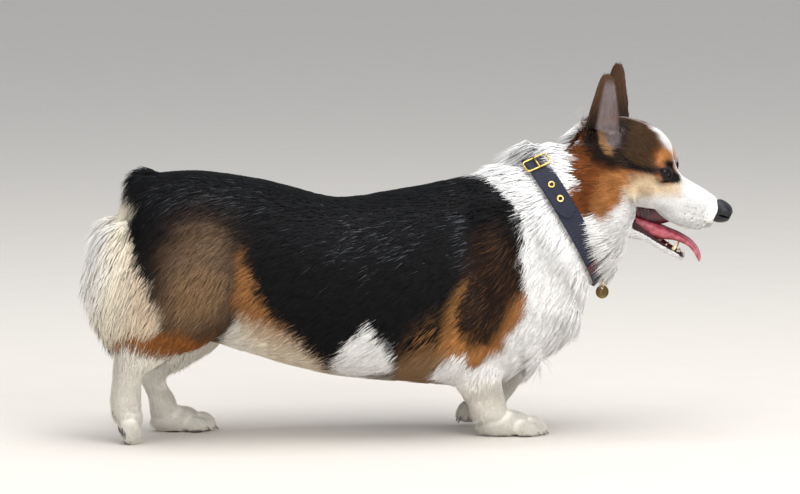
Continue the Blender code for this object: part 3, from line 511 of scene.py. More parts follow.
def ear_shape(side, thickness=3.0, columns=14):
    """A cupped, round-tipped leaf with two faces and a rim."""
    foot, rise, outward, across = ear_axes(side)
    rows = between(EAR_ROWS, 4)
    curl = np.linspace(-1, 1, columns + 1)[:, None]
    grid = np.array([foot + rise * (t * EAR_LENGTH[side])
                     + across * (half * np.sin(curl * EAR_CURL))
                     + outward * ear_level(t, cup, curl) for t, half, cup in rows])
    normal = unit(np.cross(np.gradient(grid, axis=0), np.gradient(grid, axis=1)))
    both = np.concatenate((grid + normal * thickness / 2, grid - normal * thickness / 2))
    points = both.reshape(-1, 3)
    wide, tall = columns + 1, len(rows)
    faces = []
    for start in (0, tall * wide):
        for i in range(tall - 1):
            row = start + i * wide
            faces += [(a, a + 1, a + wide + 1, a + wide) for a in range(row, row + columns)]
    edge = ([(i, 0) for i in range(tall)] + [(tall - 1, j) for j in range(1, wide)]
            + [(i, wide - 1) for i in range(tall - 2, -1, -1)]
            + [(0, j) for j in range(wide - 2, 0, -1)])
    for (i, j), (k, n) in zip(edge, edge[1:] + edge[:1]):
        a, b, lower = i * wide + j, k * wide + n, tall * wide
        faces.append((a, b, b + lower, a + lower))
    return moved((points, faces), HEAD)


def eye_place(side):
    """An eye's own frame, with its +X along its look."""
    return (HEAD @ Matrix.Translation(eye_centre(side)) @ turned(side * EYE_LOOK, "Z")
            @ turned(-6, "Y"))


def lid_hoop(place, size, count):
    """The opening of the lids as a ring, that place along the look and that size."""
    rise, drop, half = (size * value for value in LIDS)
    return hoop((place, 0, 0), UP, ACROSS, rise, drop, half, LIDS_POWER, count)


def both_sides(rows):
    """Guides with their mirror images, as places, lies and the rest."""
    for place, lie, *rest in rows:
        for side in (-1, 1):
            yield np.array(place) * (1, side, 1), np.array(lie) * (1, side, 1), rest


def guide_table():
    """All the guides as arrays in the maker's frame, on both sides of the body."""
    rows = [*both_sides(BODY_GUIDES), *((place, lie, rest) for place, lie, *rest in LEG_GUIDES)]
    rows += [(HEAD_TURN @ place + HEAD_MIDDLE, HEAD_TURN @ lie, rest)
             for place, lie, rest in both_sides(HEAD_GUIDES)]
    places, lies, rest = (np.array(column, float) for column in zip(*rows))
    return places, np.hstack((unit(lies), rest))


GUIDE_BATCH = 20000          # points that are blended at once
GUIDE_BLUR = 60.0            # square millimetres added to each gap, so that no guide is a spot


def guided(points):
    """The lie, length, depth and tuft width at each point, blended from the guides."""
    places, values = guide_table()
    made = []
    for part in np.split(points, range(GUIDE_BATCH, len(points), GUIDE_BATCH)):
        gap = ((part[:, None, :] - places[None]) ** 2).sum(axis=2)
        weight = 1.0 / (gap + GUIDE_BLUR) ** 2
        made.append(weight @ values / weight.sum(axis=1)[:, None])
    made = np.concatenate(made)
    made[:, :3] = unit(made[:, :3])
    return made


def in_head(points):
    """Points in the head's own frame."""
    return points @ HEAD_BACK[:3, :3].T + HEAD_BACK[:3, 3]


def waves(points, size, seed):
    """Smooth noise from -1 to 1: a sum of slanted sine waves about size millimetres long."""
    draw = np.random.default_rng(seed)
    total = np.zeros(len(points))
    for _ in range(7):
        way = draw.normal(size=3)
        way /= np.linalg.norm(way) * size * draw.uniform(0.6, 1.5)
        total += np.sin(2 * np.pi * (points @ way) + draw.uniform(0, 6.3))
    return total / 3.2


def linear(code):
    """Linear light from an sRGB hex value."""
    parts = np.array([int(code[i:i + 2], 16) / 255 for i in (1, 3, 5)])
    return np.where(parts <= 0.04045, parts / 12.92, ((parts + 0.055) / 1.055) ** 2.4)


TONES = {
    "black": "#08080a", "grey": "#74767d", "white": "#f7f5f2", "cream": "#f4e8d0",
    "leg": "#efe9dc", "tan": "#9c6c3b", "orange": "#bd7f48", "chestnut": "#7a4118",
    "agouti": "#6f5842", "umber": "#281a12", "sable": "#1f130c", "olive": "#46301a",
    "rust": "#8a5426", "peach": "#e8cda8", "lip": "#120d0d", "gum": "#6d2530",
    "pink": "#b5525e", "mauve": "#76696a", "rim": "#4b311d", "fawn": "#a5794f",
    "dun": "#86694b", "ginger": "#96683c", "flews": "#331719",
}
TONE = {name: linear(code) for name, code in TONES.items()}

# The markings of the right side, and one patch of painted shade under the chest, as seen from
# a little ahead of it and above, in steps of 1.12 mm: tone, softness of the border, and the
# outline. Later rows lie over earlier ones.
CHART_STEP = 1.12
CHART_MIDDLE = (407, 435)    # where the maker's own origin shows on the chart
CHART_TURN = math.radians(8)
CHART_TILT = math.radians(6)
BODY_CHART = (
    ("umber", 30, ((172, 226), (200, 212), (228, 222), (240, 250), (240, 300), (230, 330),
                   (204, 352), (168, 352), (163, 322), (158, 290), (160, 256))),
    ("agouti", 30, ((172, 262), (182, 240), (204, 230), (222, 240), (230, 264), (231, 304),
                    (224, 322), (206, 334), (178, 340), (168, 330), (167, 294))),
    ("dun", 26, ((174, 290), (194, 274), (216, 280), (222, 304), (208, 318), (182, 326),
                  (172, 318))),
    ("umber", 22, ((462, 262), (474, 240), (488, 230), (500, 240), (510, 256), (514, 280),
                   (521, 298), (521, 308), (518, 320), (509, 331), (502, 341), (500, 352),
                   (480, 362), (471, 368), (460, 362), (446, 352), (450, 330), (456, 300))),
    ("orange", 16, ((512, 304), (522, 298), (522, 310), (518, 322), (509, 332), (502, 343),
                    (492, 346), (500, 330), (507, 318))),
    ("orange", 12, ((448, 326), (454, 338), (466, 349), (484, 351), (500, 347), (498, 356),
                    (480, 363), (471, 369), (460, 362), (440, 360), (436, 350))),
    ("tan", 10, ((458, 288), (452, 314), (446, 338), (441, 362), (428, 370), (424, 364),
                 (434, 344), (444, 316), (450, 296))),
    ("ginger", 9, ((236, 262), (240, 254), (246, 273), (255, 297), (268, 315), (284, 333),
                   (298, 344), (314, 355), (329, 369), (334, 392), (290, 380), (262, 352),
                   (243, 338), (236, 318), (234, 290))),
    ("cream", 14, ((244, 336), (262, 342), (282, 354), (300, 362), (318, 368), (330, 374),
                   (440, 386), (440, 410), (280, 410), (240, 360))),
    ("white", 4, ((361, 323), (369, 333), (375, 343), (385, 352), (390, 361), (392, 372),
                  (330, 374), (331, 366), (333, 360), (341, 349), (351, 340))),
    # Painted shade: dun brown under the chest between the forelegs, where shade falls on the pale
    # belly.
    ("dun", 12, ((390, 368), (400, 360), (420, 352), (440, 358), (444, 400), (392, 400))),
    ("rust", 8, ((117, 338), (140, 336), (163, 332), (198, 342), (214, 338), (198, 356),
                 (160, 358), (121, 352))),
    ("leg", 6, ((60, 340), (112, 342), (121, 352), (160, 357), (198, 355), (218, 342), (232, 326),
                (237, 322), (244, 336), (262, 356), (290, 380), (290, 470), (60, 470))),
    ("cream", 9, ((118, 196), (128, 205), (136, 217), (130, 227), (126, 247), (134, 262),
                  (139, 276), (149, 294), (156, 312), (164, 319), (152, 337), (119, 345),
                  (96, 354), (40, 354), (40, 190))),
    ("white", 5, ((461, 178), (481, 186), (495, 197), (506, 211), (511, 224), (517, 243),
                  (518, 258), (514, 264), (516, 276), (520, 295), (522, 307), (519, 319),
                  (511, 330), (503, 339), (502, 350), (493, 358), (481, 363), (472, 369),
                  (464, 365), (457, 359), (438, 362), (428, 376), (430, 470), (700, 470),
                  (700, 40), (480, 40), (456, 150))),
    ("leg", 14, ((420, 392), (500, 384), (600, 398), (600, 470), (420, 470))),
)
THIGH, SHOULDER, FRINGE, BREECH, BIB = (BODY_CHART[row][2] for row in (0, 3, 7, 13, 14))
FACE_CHART = (
    ("chestnut", 5, ((588, 118), (573, 140), (564, 154), (564, 173), (565, 189), (563, 203),
                     (564, 216), (574, 219), (583, 219), (593, 214), (599, 221), (606, 212),
                     (616, 206), (620, 190), (628, 183), (642, 183), (655, 188), (668, 190),
                     (678, 182), (674, 163), (668, 154), (662, 146), (652, 133), (644, 124),
                     (628, 121), (600, 116))),
    ("orange", 10, ((594, 180), (606, 172), (621, 172), (640, 176), (632, 184), (620, 192),
                    (615, 206), (606, 212), (599, 220), (588, 219), (582, 212), (592, 196))),
    ("peach", 10, ((620, 190), (628, 178), (648, 176), (660, 187), (680, 184), (678, 196),
                   (640, 198), (624, 204))),
    ("olive", 6, ((600, 120), (628, 120), (644, 124), (652, 133), (660, 147), (652, 152),
                  (650, 160), (652, 168), (640, 172), (622, 172), (612, 164), (604, 150))),
    ("sable", 10, ((586, 122), (606, 118), (628, 122), (626, 140), (621, 152), (622, 168),
                   (608, 173), (590, 166), (580, 150), (582, 134))),
    ("black", 4, ((616, 150), (622, 160), (634, 166), (648, 168), (658, 170), (657, 176),
                  (640, 174), (622, 170))),
    ("orange", 4, ((652, 165), (655, 156), (663, 150), (669, 151), (673, 159), (664, 161),
                   (657, 167))),
    ("lip", 3, ((664, 172), (672, 170), (678, 175), (681, 182), (676, 185), (664, 183))),
)
CHEEK, WARM, TOP = (FACE_CHART[row][2] for row in (0, 1, 3))
EAR_CHART = (
    ("mauve", 3, ((600, 112), (622, 112), (621, 130), (616, 144), (609, 154), (602, 150),
                  (598, 130))),
    ("fawn", 3, ((597, 126), (600, 124), (604, 140), (610, 151), (609, 159), (604, 156),
                 (599, 144))),
)
# Painted shade: the outline where grey is laid over the white muzzle along its lower edge.
LIP_EDGE_SHADE = ((650, 204), (662, 208), (676, 217), (692, 223), (722, 220), (722, 234), (660, 228))


def charted(points, mirrored):
    """Where each point shows on the side chart. Mirrored, the left side shows as the right."""
    ahead, side, up = points.T
    side = -np.abs(side) if mirrored else side
    deep = ahead * math.sin(CHART_TURN) + side * math.cos(CHART_TURN)
    across = ahead * math.cos(CHART_TURN) - side * math.sin(CHART_TURN)
    high = up * math.cos(CHART_TILT) + deep * math.sin(CHART_TILT)
    return CHART_MIDDLE[0] + across / CHART_STEP, CHART_MIDDLE[1] - high / CHART_STEP


def soft(distance, width):
    """A border that wide: 0 before it, 1 beyond it."""
    return np.clip(0.5 + distance / width, 0, 1)


def bell(values, middle, width):
    """The exponent of a bell round a middle. Bells multiply where their exponents add."""
    return -((values - middle) / width) ** 2


def inside(x, y, outline):
    """Signed distance to a closed outline, positive inside."""
    line = np.array(outline, float)
    best = np.full(len(x), 1e9)
    within = np.zeros(len(x), bool)
    for (ax, ay), (bx, by) in zip(line, np.roll(line, -1, axis=0)):
        dx, dy = bx - ax, by - ay
        t = np.clip(((x - ax) * dx + (y - ay) * dy) / (dx * dx + dy * dy), 0, 1)
        best = np.minimum(best, np.hypot(x - ax - t * dx, y - ay - t * dy))
        crossing = ((ay > y) != (by > y)) & (x < (bx - ax) * (y - ay) / (by - ay + 1e-9) + ax)
        within ^= crossing
    return np.where(within, best, -best)


def over(base, mask, tone):
    """Colours with a tone laid over them where the mask is above 0."""
    return base + (TONE[tone] - base) * np.clip(mask, 0, 1)[:, None]


def laid(colour, x, y, chart, share=1.0):
    """Lays a chart's tones over the colours."""
    for tone, border, outline in chart:
        colour = over(colour, soft(inside(x, y, outline), border) * share, tone)
    return colour


def ear_hollow(own, side):
    """How deep a point of an ear lies in its cup: positive on the inner face."""
    foot, rise, outward, across = ear_axes(side)
    gap = own - foot
    along = gap @ rise / EAR_LENGTH[side]
    half, cup = (np.interp(along, EAR_ROWS[:, 0], EAR_ROWS[:, column]) for column in (1, 2))
    wide = gap @ across / np.maximum(half, 1)
    curl = np.arcsin(np.clip(wide, -0.97, 0.97)) / EAR_CURL
    return along, wide, gap @ outward - ear_level(along, cup, curl)


def on_ear(own, side):
    """True on the leaf of an ear."""
    along, wide, deep = ear_hollow(own, side)
    return (along > 0.3) & (along < 1.06) & (np.abs(wide) < 1.25) & (np.abs(deep) < 7)


def marking_and_shade(points, jitter, pick, roots):
    """The colour of the coat at each point: its markings, with painted shade under the chest and
    along the muzzle's lower edge. Jitter, in steps, frays the borders, pick is each tuft's own
    number from 0 to 1, for mixed hair, and roots are where the tufts start. Numbers that stand
    with x and y are places on the chart, and each mask's last number is its share."""
    x, y = charted(points, True)
    x = x + 2.0 * waves(points, 34, 1) + jitter[:, 0]
    y = y + 2.0 * waves(points, 34, 2) + jitter[:, 1]
    colour = np.tile(TONE["black"], (len(points), 1))
    flank = np.exp(bell(x, 365, 45) + bell(y, 250, 22))
    rump = np.exp(bell(x, 205, 40) + bell(y, 206, 18))
    streak = np.exp(bell(x - (y - 228) * 0.1, 451, 5) + bell(y, 240, 36))
    frost = np.maximum(np.maximum(flank, rump) * 0.16, streak * 0.3)
    colour = over(colour, (pick > 1 - frost) * 0.28, "grey")
    colour = laid(colour, x, y, BODY_CHART)
    thigh = soft(inside(x, y, THIGH), 24)
    shoulder = soft(inside(x, y, SHOULDER), 16) * soft(-inside(x, y, BIB), 4)
    fringe = soft(inside(x, y, FRINGE), 6)
    breech = soft(inside(x, y, BREECH), 9)
    mottle = np.exp(bell(x + (y - 345) * 0.4, 418, 14) + bell(y, 345, 18))
    for mask, tone in (
            (thigh * (pick < 0.3) * 0.45, "umber"), (shoulder * (pick > 0.8) * 0.18, "tan"),
            (shoulder * (pick < 0.3) * 0.3, "sable"),
            (fringe * soft(y - 330 - (x - 260) * 0.35, 22) * 0.75, "cream"),
            (fringe * (pick < 0.3) * 0.3, "chestnut"), (mottle * (pick > 0.5) * 0.8, "tan"),
            (breech * soft(112 - x - (y - 230) * 0.1, 20) * 0.9, "white"),
            (breech * soft(x - 132, 24) * soft(y - 246, 20) * 0.5, "fawn")):
        colour = over(colour, mask, tone)
    own = in_head(points)
    near = own.copy()
    near[:, 1] = -np.maximum(np.where(own[:, 1] > 0, own[:, 1] - 6.0, -own[:, 1]), 0)
    fx, fy = charted(near @ HEAD_TURN.T + HEAD_MIDDLE, False)
    fx = fx + 1.2 * waves(points, 20, 5) + jitter[:, 0] * 0.6
    fy = fy + 1.2 * waves(points, 20, 6) + jitter[:, 1] * 0.6
    head = soft(own[:, 0] + 66, 8) * soft(own[:, 2] + 112, 20)
    colour = over(colour, head, "white")
    colour = laid(colour, fx, fy, FACE_CHART, head)
    colour = laid(colour, fx, fy, EAR_CHART, head * soft(np.abs(own[:, 1]) - 36, 5))
    streaks = 0.5 + 0.5 * np.sin((fx - fy * 0.25) * 0.55 + 2.0 * waves(points, 16, 7))
    # The first mask, lip, is painted shade: grey at a share of 0.3 along the muzzle's lower edge.
    lip, warm, rear, top = (head * soft(inside(fx, fy, outline), width) for outline, width in
                            ((LIP_EDGE_SHADE, 8), (WARM, 8), (CHEEK, 8), (TOP, 5)))
    for mask, tone in ((lip * 0.3, "grey"), (warm * streaks * 0.55, "chestnut"),
                       (rear * soft(598 - fx, 30) * (1 - streaks) * 0.45, "sable"),
                       (top * (pick > 0.75) * 0.25, "agouti"),
                       (top * (pick < 0.3) * 0.4, "sable")):
        colour = over(colour, mask, tone)
    own = in_head(roots)
    for side in (-1, 1):
        eye = (own - eye_centre(side) - (7.0, side * 0.5, 1.4)) / (1.14, 1.0, 0.9)
        along, wide, deep = ear_hollow(own, side)
        leaf = on_ear(own, side).astype(float)
        inner = leaf * soft(deep, 1.6) * soft(0.2 - wide, 0.25) * soft(wide + 0.9, 0.2)
        for mask, tone in (
                (soft(12.0 - np.linalg.norm(eye, axis=1), 2.0), "lip"), (leaf, "rim"),
                (leaf * soft(0.5 - along, 0.3), "sable"), (leaf * (pick > 0.7) * 0.35, "umber"),
                (inner * soft(0.89 - along, 0.1), "mauve"), (inner * (pick < 0.3) * 0.3, "rim"),
                (inner * soft(0.5 - along, 0.2) * (pick < 0.4) * 0.4, "fawn")):
            colour = over(colour, mask, tone)
    return colour


def read(items, field, kind=float, wide=3):
    """One field of a mesh's points, loops or triangles, as rows."""
    made = np.empty(len(items) * wide, kind)
    items.foreach_get(field, made)
    return made.reshape(-1, wide)


def arrays(mesh):
    """Points in the maker's millimetres, normals, and the triangles' points and loops."""
    mesh.calc_loop_triangles()
    return (read(mesh.vertices, "co") / MM - ORIGIN, read(mesh.vertex_normals, "vector"),
            read(mesh.loop_triangles, "vertices", int), read(mesh.loop_triangles, "loops", int))


def reshaped(mesh, points):
    """Moves a mesh's points to places in the maker's frame."""
    mesh.vertices.foreach_set("co", ((points + ORIGIN) * MM).ravel())


def painted(mesh, colours):
    """Stores one colour for each point, for the coat's material."""
    layer = mesh.color_attributes.new("Coat", "FLOAT_COLOR", "POINT")
    full = np.ones((len(mesh.vertices), 4), np.float32)
    full[:, :3] = colours
    layer.data.foreach_set("color", full.ravel())


def rooted(skin, count, weigh, seed):
    """Roots spread evenly over the skin: place, normal and place on its unwrap."""
    points, normals, corners, loops = arrays(skin.data)
    unwrapped = read(skin.data.uv_layers.active.data, "uv", wide=2)
    a, b, c = (points[corners[:, k]] for k in range(3))
    area = np.linalg.norm(np.cross(b - a, c - a), axis=1) / 2
    area = area * weigh((a + b + c) / 3)
    draw = np.random.default_rng(seed)
    steps = (np.arange(count) + draw.uniform(0, 1, count)) / count
    face = np.minimum(np.searchsorted(np.cumsum(area) / area.sum(), steps), len(area) - 1)
    u, v = draw.uniform(0, 1, count), draw.uniform(0, 1, count)
    flip = u + v > 1
    u, v = np.where(flip, 1 - u, u), np.where(flip, 1 - v, v)
    share = np.column_stack((1 - u - v, u, v))

    def mixed(values, index):
        return sum(values[index[face, k]] * share[:, k:k + 1] for k in range(3))

    return mixed(points, corners), unit(mixed(normals, corners)), mixed(unwrapped, loops)


# A bent tuft has two rings of three corners and a tip, and a short straight one has one ring.
RING = np.array(((-1.0, -0.35), (0.0, 1.0), (1.0, -0.35)))
SHORT_FACES = [(0, 1, 3), (1, 2, 3), (2, 0, 3), (2, 1, 0)]
LONG_FACES = ([(i, (i + 1) % 3, 3 + (i + 1) % 3) for i in range(3)]
              + [(i, 3 + (i + 1) % 3, 3 + i) for i in range(3)]
              + [(3 + i, 3 + (i + 1) % 3, 6) for i in range(3)] + [(2, 1, 0)])
# The rings of each: their places along the hair, rise and width.
SHORT_RINGS = ((0.0, -0.12, 0.9),)
LONG_RINGS = ((0.0, -0.12, 0.62), (0.45, 0.85, 1.0))
TUFT_THICK = 0.5                      # as a share of the width
PATCH = 0.003                         # the side of a tuft's bake patch


def lying(lies, normals):
    """The lies as units along the skin."""
    lies = lies - normals * (lies * normals).sum(axis=1)[:, None]
    return lies / (np.linalg.norm(lies, axis=1)[:, None] + 1e-9)


def tufts(name, short, roots, normals, lies, lengths, rises, widths, curls, place, colours):
    """A joined mesh of thin, tapered solid tufts, with their colours and bake patches."""
    count = len(roots)
    faces = np.array(SHORT_FACES if short else LONG_FACES)
    rings = SHORT_RINGS if short else LONG_RINGS
    corners = 3 * len(rings) + 1
    lies = lying(lies, normals)
    side = np.cross(lies, normals)
    size = lengths[:, None]
    points = np.empty((count, corners, 3))
    for ring, (along, up, wide) in enumerate(rings):
        middle = (roots + lies * size * along + normals * (rises * up)[:, None]
                  + side * (curls * along ** 2)[:, None])
        for k, (a, b) in enumerate(RING):
            points[:, ring * 3 + k] = (middle + side * (widths * wide * a / 2)[:, None]
                                       + normals * (widths * TUFT_THICK * b / 2)[:, None])
    points[:, -1] = roots + lies * size + normals * (rises * 0.9)[:, None] + side * curls[:, None]
    points[:, :, 2] = np.maximum(points[:, :, 2], 0.1)
    mesh = bpy.data.meshes.new(name)
    mesh.vertices.add(count * corners)
    reshaped(mesh, points)
    order = (faces[None] + (np.arange(count) * corners)[:, None, None]).ravel()
    mesh.loops.add(len(order))
    mesh.loops.foreach_set("vertex_index", order)
    mesh.polygons.add(count * len(faces))
    mesh.polygons.foreach_set("loop_start", np.arange(count * len(faces)) * 3)
    mesh.polygons.foreach_set("loop_total", np.full(count * len(faces), 3))
    mesh.update(calc_edges=True)
    mesh.shade_smooth()
    own = read(mesh.vertex_normals, "vector").reshape(points.shape)
    lean = unit(own * 0.25 + normals[:, None] * 0.85)
    mesh.normals_split_custom_set_from_vertices(lean.reshape(-1, 3))
    patch = mesh.uv_layers.new(name="OFBake")
    spot = np.array([(x, y) for y in (0.0, 0.5) for x in (0.0, 0.5, 1.0)] + [(0.5, 1.0)]) - 0.5
    if short:
        spot = spot[[0, 1, 2, 6]]
    patch.data.foreach_set("uv", (place[:, None] + spot[faces.ravel()][None] * PATCH).ravel())
    # Painted shade: each tuft is dimmed to 0.88 of its colour from root to middle, for the shade
    # down in the coat, and to about 0.92 at its tip.
    shade = np.repeat(colours[:, None], corners, axis=1)
    shade[:, :3] *= 0.88
    shade[:, -1] = np.clip(shade[:, -1] * 1.04, 0, 1)
    painted(mesh, shade.reshape(-1, 3))
    made = bpy.data.objects.new(name, mesh)
    bpy.context.scene.collection.objects.link(made)
    return made


def node(tree, kind, settings=(), **inputs):
    """Adds a node, sets its properties and its inputs, and links any input that is a socket."""
    made = tree.nodes.new("ShaderNode" + kind)
    for key, value in dict(settings).items():
        setattr(made, key, value)
    for key, value in inputs.items():
        number = key[1:]
        socket = made.inputs[int(number) if number.isdigit() else key.replace("_", " ")]
        if isinstance(value, bpy.types.NodeSocket):
            tree.links.new(value, socket)
        else:
            socket.default_value = value
    return made


def hexed(code):
    """A colour socket's value from an sRGB hex value."""
    return (*linear(code), 1.0)


def dimmed(colour, share):
    """A colour socket's value at a share of its light."""
    return tuple(share * value for value in colour[:3]) + (1.0,)


def finish(name, roughness, **shader_values):
    """A new material with its tree, its shader and its piece's object coordinates."""
    made = bpy.data.materials.new(name)
    made.use_nodes = True
    tree = made.node_tree
    shader = tree.nodes["Principled BSDF"]
    shader.inputs["Roughness"].default_value = roughness
    for key, value in shader_values.items():
        shader.inputs[key.replace("_", " ")].default_value = value
    return made, tree, shader, node(tree, "TexCoord").outputs["Object"]


def fed(tree, shader, colour, height=None, depth=0.0, strength=0.0):
    """Links the shader's colour, and a height as bump of that depth in metres."""
    tree.links.new(colour, shader.inputs["Base Color"])
    if height is not None:
        bump = node(tree, "Bump", Strength=strength, Distance=depth, Height=height)
        tree.links.new(bump.outputs["Normal"], shader.inputs["Normal"])


def speckled(tree, place, dark, light, scale, low=0.35, high=0.65):
    """Two tones over patches: scale is patches to the metre."""
    patches = node(tree, "TexNoise", Vector=place, Scale=scale, Detail=4.0)
    amount = node(tree, "MapRange", Value=patches.outputs["Fac"], From_Min=low, From_Max=high)
    return node(tree, "Mix", {"data_type": "RGBA"}, Factor=amount.outputs["Result"], i6=dark,
                i7=light).outputs[2]


def hair_tint(tree, place, scale):
    """The hair's own colour, a tenth lighter and darker over locks of that many to the metre."""
    colour = node(tree, "Attribute", {"attribute_name": "Coat"}).outputs["Color"]
    wander = node(tree, "TexNoise", Vector=place, Scale=scale, Detail=3.0)
    amount = node(tree, "MapRange", Value=wander.outputs["Fac"], From_Min=0.3, From_Max=0.7,
                  To_Min=0.9, To_Max=1.1)
    return node(tree, "VectorMath", {"operation": "SCALE"}, i0=colour,
                Scale=amount.outputs["Result"]).outputs["Vector"]


def dog_hair():
    """Keratin hair, clean and dry: a broad soft gloss over the colour that each tuft carries."""
    made, tree, shader, place = finish("Dog hair, dry keratin", 0.6, Specular_IOR_Level=0.14)
    fed(tree, shader, hair_tint(tree, place, 420.0))
    return made


def coated_skin():
    """Skin under short hair: the coat's colours, and hair of a third of a millimetre as bump."""
    made, tree, shader, place = finish("Skin under short dog hair", 0.6, Specular_IOR_Level=0.3)
    hair = node(tree, "TexNoise", Vector=place, Scale=1400.0, Detail=2.0)
    fed(tree, shader, hair_tint(tree, place, 600.0), hair.outputs["Fac"], 0.0004, 0.4)
    return made


def wet_cornea(iris):
    """A living eye: a clear wet cornea over a dark brown iris, so it mirrors the lights."""
    made, tree, shader, place = finish("Cornea over a brown iris", 0.3, Coat_Weight=0.3,
                                       Coat_Roughness=0.02, Specular_IOR_Level=0.1)
    turn = node(tree, "Attribute", {"attribute_name": "Iris"}).outputs["Fac"]
    streak = node(tree, "TexNoise", Vector=place, Scale=900.0, Detail=3.0)
    frayed = node(tree, "Math", {"operation": "MULTIPLY_ADD"}, i0=streak.outputs["Fac"], i1=0.06,
                  i2=turn)
    ramp = node(tree, "ValToRGB", Fac=frayed.outputs["Value"])
    stops = ramp.color_ramp.elements
    stops.remove(stops[1])
    pupil = stops[0]
    pupil.position, pupil.color = 0.30, hexed("#030202")
    for position, tone in ((0.36, iris), (0.62, iris), (0.72, hexed("#120906")),
                           (0.80, hexed("#2a1c18"))):
        stops.new(position).color = tone
    fed(tree, shader, ramp.outputs["Color"])
    return made


# Finishes in two tones. Each holds the real material's name, its roughness, its dark and light
# tone, its patches to the metre, its grain and the shader's other values. A grain is drawn as
# bump: the kind of texture, its grains to the metre, its depth in metres (below zero where the
# middle of a cell stands up), its strength, and what else the texture is given.
FINISHES = {
    # Bare pigmented skin of a lid: near black, moist and finely creased.
    "lid": ("Pigmented eyelid skin, moist", 0.45, "#0b0909", "#1c1513", 900.0,
            ("Noise", 1800.0, 0.0002, 0.6), {"Specular_IOR_Level": 0.25}),
    # A dog's nose: slate black hide in pebbles of about 0.9 mm, damp, so it shines softly.
    "nose": ("Nose hide, damp and pebbled", 0.36, "#0c0d10", "#1e1f25", 420.0,
             ("Voronoi", 1100.0, -0.0004, 0.7, {"feature": "SMOOTH_F1"}),
             {"Specular_IOR_Level": 0.4}),
    # A panting tongue: pink muscle under fine papillae of 0.6 mm, glazed with spit.
    "tongue": ("Tongue, wet mucosa", 0.36, "#a03a49", "#cc6a76", 170.0,
               ("Voronoi", 1500.0, -0.0003, 0.5),
               {"Coat_Weight": 0.45, "Coat_Roughness": 0.12, "Subsurface_Weight": 0.15,
                "Subsurface_Scale": 0.004}),
    # The palate and inner cheeks: red wet mucosa in soft folds about 4 mm apart, its red darkened
    # as painted shade of the mouth's hollow.
    "mouth": ("Mouth lining, wet mucosa", 0.32, "#2c0a10", "#6a2029", 160.0,
              ("Wave", 80.0, 0.0006, 0.5, {}, {"Distortion": 6.0}),
              {"Coat_Weight": 0.3, "Coat_Roughness": 0.15}),
    # Enamel: ivory, a little stained, glossy, and it lets some light in.
    "tooth": ("Tooth enamel", 0.2, "#d9c596", "#f2ead6", 260.0, None,
              {"IOR": 1.62, "Subsurface_Weight": 0.1, "Subsurface_Scale": 0.002}),
    # Claw horn: pale, as under white hair, streaked, and scuffed to a low gloss by the ground.
    "claw": ("Claw horn, scuffed", 0.42, "#6f6459", "#b5a897", 380.0,
             ("Noise", 2200.0, 0.0002, 0.4, {}, {"Detail": 3.0}), {}),
    # Paw pads: thick dry hide in round grains of about a millimetre, so it is dull.
    "pad": ("Paw pad hide, dry and grained", 0.75, "#1f1c1c", "#4a4442", 300.0,
            ("Voronoi", 1000.0, -0.0005, 0.8), {}),
    # A whisker: one stiff pale hair, smooth enough to catch a line of light.
    "whisker": ("Whisker, stiff keratin", 0.35, "#b9b2a6", "#f0ede6", 90.0, None, {}),
    # A whisker's root: a dark pore in pale skin, without gloss.
    "root": ("Whisker root, pigmented", 0.7, "#1a1614", "#40342c", 700.0, None, {}),
    # Dyed strap leather: dark red with a fine grain, and a satin dressing.
    "leather": ("Dyed leather, dressed", 0.45, "#2b1015", "#5a2430", 500.0,
                ("Voronoi", 1600.0, -0.0003, 0.5), {}),
}


def made_of(key, dark=None):
    """A material from the finishes above, with a dark tone that the user chose."""
    name, roughness, low_tone, light, scale, grain, shader_values = FINISHES[key]
    made, tree, shader, place = finish(name, roughness, **shader_values)
    bump = ()
    if grain:
        kind, grains, depth, strength, settings, inputs = (*grain, {}, {})[:6]
        texture = node(tree, "Tex" + kind, settings, Vector=place, Scale=grains, **inputs)
        bump = (texture.outputs["Distance" if kind == "Voronoi" else "Fac"], depth, strength)
    fed(tree, shader, speckled(tree, place, dark or hexed(low_tone), hexed(light), scale), *bump)
    return made


RIB = 0.0016                 # metres between the webbing's ribs
PICK = 0.0012                # metres between the threads across them
SEAM = 0.0094                # from the middle of the strap to a sewn row
SEAM_HALF = 0.00045
STITCH = 0.0017              # a stitch and its gap, in metres
STITCH_GAP = 0.0005


